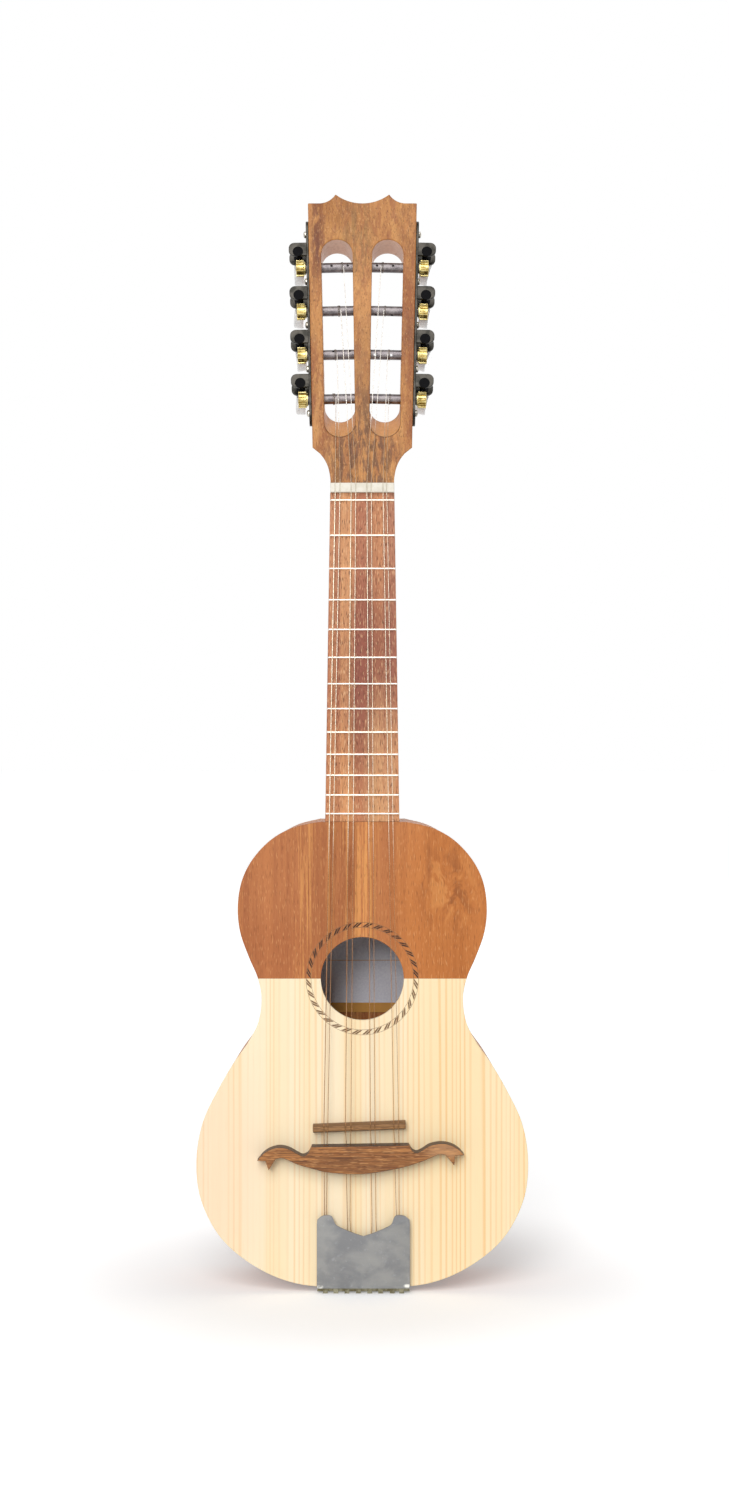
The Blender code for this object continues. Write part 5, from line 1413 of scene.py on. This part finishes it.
def make_tuners():
    """Both sides' plates, and each tuner's post with its gear, and key with its worm and button."""
    roller = roller_mesh()
    gear_screw = (GEAR_SCREW_RADIUS, GEAR_SCREW_HEIGHT, GEAR_TO)
    near, far = FRONT_LUG
    worm_end = (
        (0.6, near - 0.3),
        (JOURNAL_RADIUS - 0.1, near - 0.3),
        (JOURNAL_RADIUS, near - 0.2),
        (JOURNAL_RADIUS, far + 0.1),
    )
    stem = (
        (SHAFT_RADIUS, REAR_LUG[0] - 0.2),
        (SHAFT_RADIUS, BUTTON_CENTRE - 8.0),
        (SHAFT_RADIUS + 0.7, BUTTON_CENTRE - 7.4),
        (SHAFT_RADIUS + 0.7, BUTTON_CENTRE - 5.0),
    )
    for side_name, side in SIDES.items():
        make_tuner_side(side_name, side)
        for row in range(len(POST_ROWS)):
            on_post = (
                ("roller", roller.copy(), "roller", "post_steel", 32),
                ("gear", gear_bm(), "brass", "brass", 25),
                ("gear_hub", gear_hub_bm(), "brass", "brass", 32),
                ("gear_screw", slotted_screw(*gear_screw), "screw", "post_steel", 32),
            )
            on_key = (
                ("button", button_bm(), "pearl", "pearl", 60),
                ("worm", worm_bm(), "dark", "plate_steel", 45),
                ("worm_end", lathe(worm_end, 32), "dark", "plate_steel", 32),
                ("stem", lathe(stem, 24), "roller", "post_steel", 32),
            )
            for kind, pieces, place, turn in (
                ("post", on_post, post_frame(side, row), POST_TURNS[row]),
                ("key", on_key, key_frame(side, row), BUTTON_TURNS[side_name][row]),
            ):
                body = f"{kind}_{side_name}_{row + 1}"
                matrix = place @ turned(turn, "Z")
                node = f"tuner_{body}"
                for name, shape, finish, slot, angle in pieces:
                    piece(f"{name}_{side_name}_{row + 1}", shape, finish, node, body, matrix, angle)
                    node = None  # only the first piece stands for it


def give_finishes_to_kept_nodes():
    """Nodes whose own shape is right take a finish."""
    braces = [f"{board}_brace_{place}" for board in ("top", "back") for place in ("upper", "lower")]
    kept = dict.fromkeys(["top_lining", "back_lining", "tail_block", *braces], "inner")
    kept.update({"paper_label": "label", "tailpiece_hook_plate": "hook"})
    for name, finish in kept.items():
        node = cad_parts[name]
        node.data.materials.clear()
        node.data.materials.append(FINISHES[finish])


# Stage, light and camera

def seen_directly(tree):
    """1 for the rays that show a thing itself: from the camera, or by way of a mirror or glass."""
    rays = tree.nodes.new("ShaderNodeLightPath").outputs
    share = rays["Is Camera Ray"]
    for name in ("Is Glossy Ray", "Is Transmission Ray"):
        share = add_node(tree, "Math", "Value", {"operation": "MAXIMUM"}, _0=share, _1=rays[name])
    return share


def make_floor():
    """A wide white floor that keeps the instrument's shadow, with painted shade where it glows less round the
    foot.
    """
    bm = bmesh.new()
    bmesh.ops.create_grid(bm, x_segments=1, y_segments=1, size=FLOOR_HALF_SIZE)
    floor = in_scene("floor", to_mesh(bm))
    material = bpy.data.materials.new("floor_white")
    material.use_nodes = True
    tree = material.node_tree
    tree.nodes.clear()
    place = add_node(tree, "TexCoord", "Object")
    far = add_node(tree, "VectorMath", "Value", {"operation": "LENGTH"}, _0=place)
    # Painted shade: the floor glows less within the first of these distances from the instrument's foot
    limits = dict(zip(("_1", "_2", "_3", "_4"), PAINTED_SHADE_REACH + FLOOR_GLOW))
    rise = add_node(tree, "MapRange", "Result", {"interpolation_type": "SMOOTHSTEP"}, Value=far, **limits)
    lift = add_node(tree, "Math", "Value", {"operation": "MULTIPLY"}, _0=seen_directly(tree), _1=rise)
    paint = add_node(tree, "BsdfDiffuse", "BSDF", Color=FLOOR_PAINT)
    glow = add_node(tree, "Emission", "Emission", Color=WHITE, Strength=lift)
    total = add_node(tree, "AddShader", "Shader", _0=paint, _1=glow)
    tree.links.new(total, tree.nodes.new("ShaderNodeOutputMaterial").inputs["Surface"])
    floor.data.materials.append(material)


def make_world():
    """White where it is seen, and a plain pale light on everything."""
    world = bpy.data.worlds.new("studio")
    bpy.context.scene.world = world
    world.use_nodes = True
    tree = world.node_tree
    shown, hidden = 1.0, SKY_LIGHT
    strength = add_node(tree, "MapRange", "Result", Value=seen_directly(tree), _3=hidden, _4=shown)
    background = tree.nodes["Background"]
    background.inputs["Color"].default_value = WHITE
    tree.links.new(strength, background.inputs["Strength"])


def aimed(name, data, location):
    """A lamp at a place, turned towards the middle of the instrument."""
    lamp = in_scene(name, data)
    lamp.location = location
    lamp.rotation_euler = (Vector(LAMP_AIM) - Vector(location)).to_track_quat("-Z", "Y").to_euler()


def make_sun(name, location, strength, spread):
    """A wide, even light from far away in the direction of a place."""
    data = bpy.data.lights.new(name, "SUN")
    data.energy = strength
    data.angle = math.radians(spread)
    aimed(name, data, location)


def make_panel(name, location, size, power):
    data = bpy.data.lights.new(name, "AREA")
    data.shape = "RECTANGLE"
    data.size, data.size_y = size
    data.energy = power
    aimed(name, data, location)


def make_camera():
    """Level, in front of the neck a little above the body, which gives the photo's view."""
    data = bpy.data.cameras.new("camera")
    data.sensor_width = 24
    data.lens = data.sensor_width * PHOTO_DISTANCE / (PHOTO_HEIGHT * PHOTO_PIXEL * MM)
    data.clip_end = 200
    camera = in_scene("camera", data)
    camera.location = (CAMERA_X, BOARD_Y - PHOTO_DISTANCE, CAMERA_Z)
    camera.rotation_euler = (math.radians(90), 0, 0)
    bpy.context.scene.camera = camera


make_top()
make_rosette()
make_ribs()
make_back()
make_neck()
make_fingerboard()
make_frets()
make_nut()
make_floating_bridge()
make_moustache()
make_cover()
make_strings()
make_windings()
make_tuners()
give_finishes_to_kept_nodes()
make_floor()
make_world()
make_sun("key", *KEY_SUN)
make_panel("front", *FRONT_PANEL)
make_panel("back", *BACK_PANEL)
make_camera()
bpy.context.scene.view_settings.view_transform = "Standard"
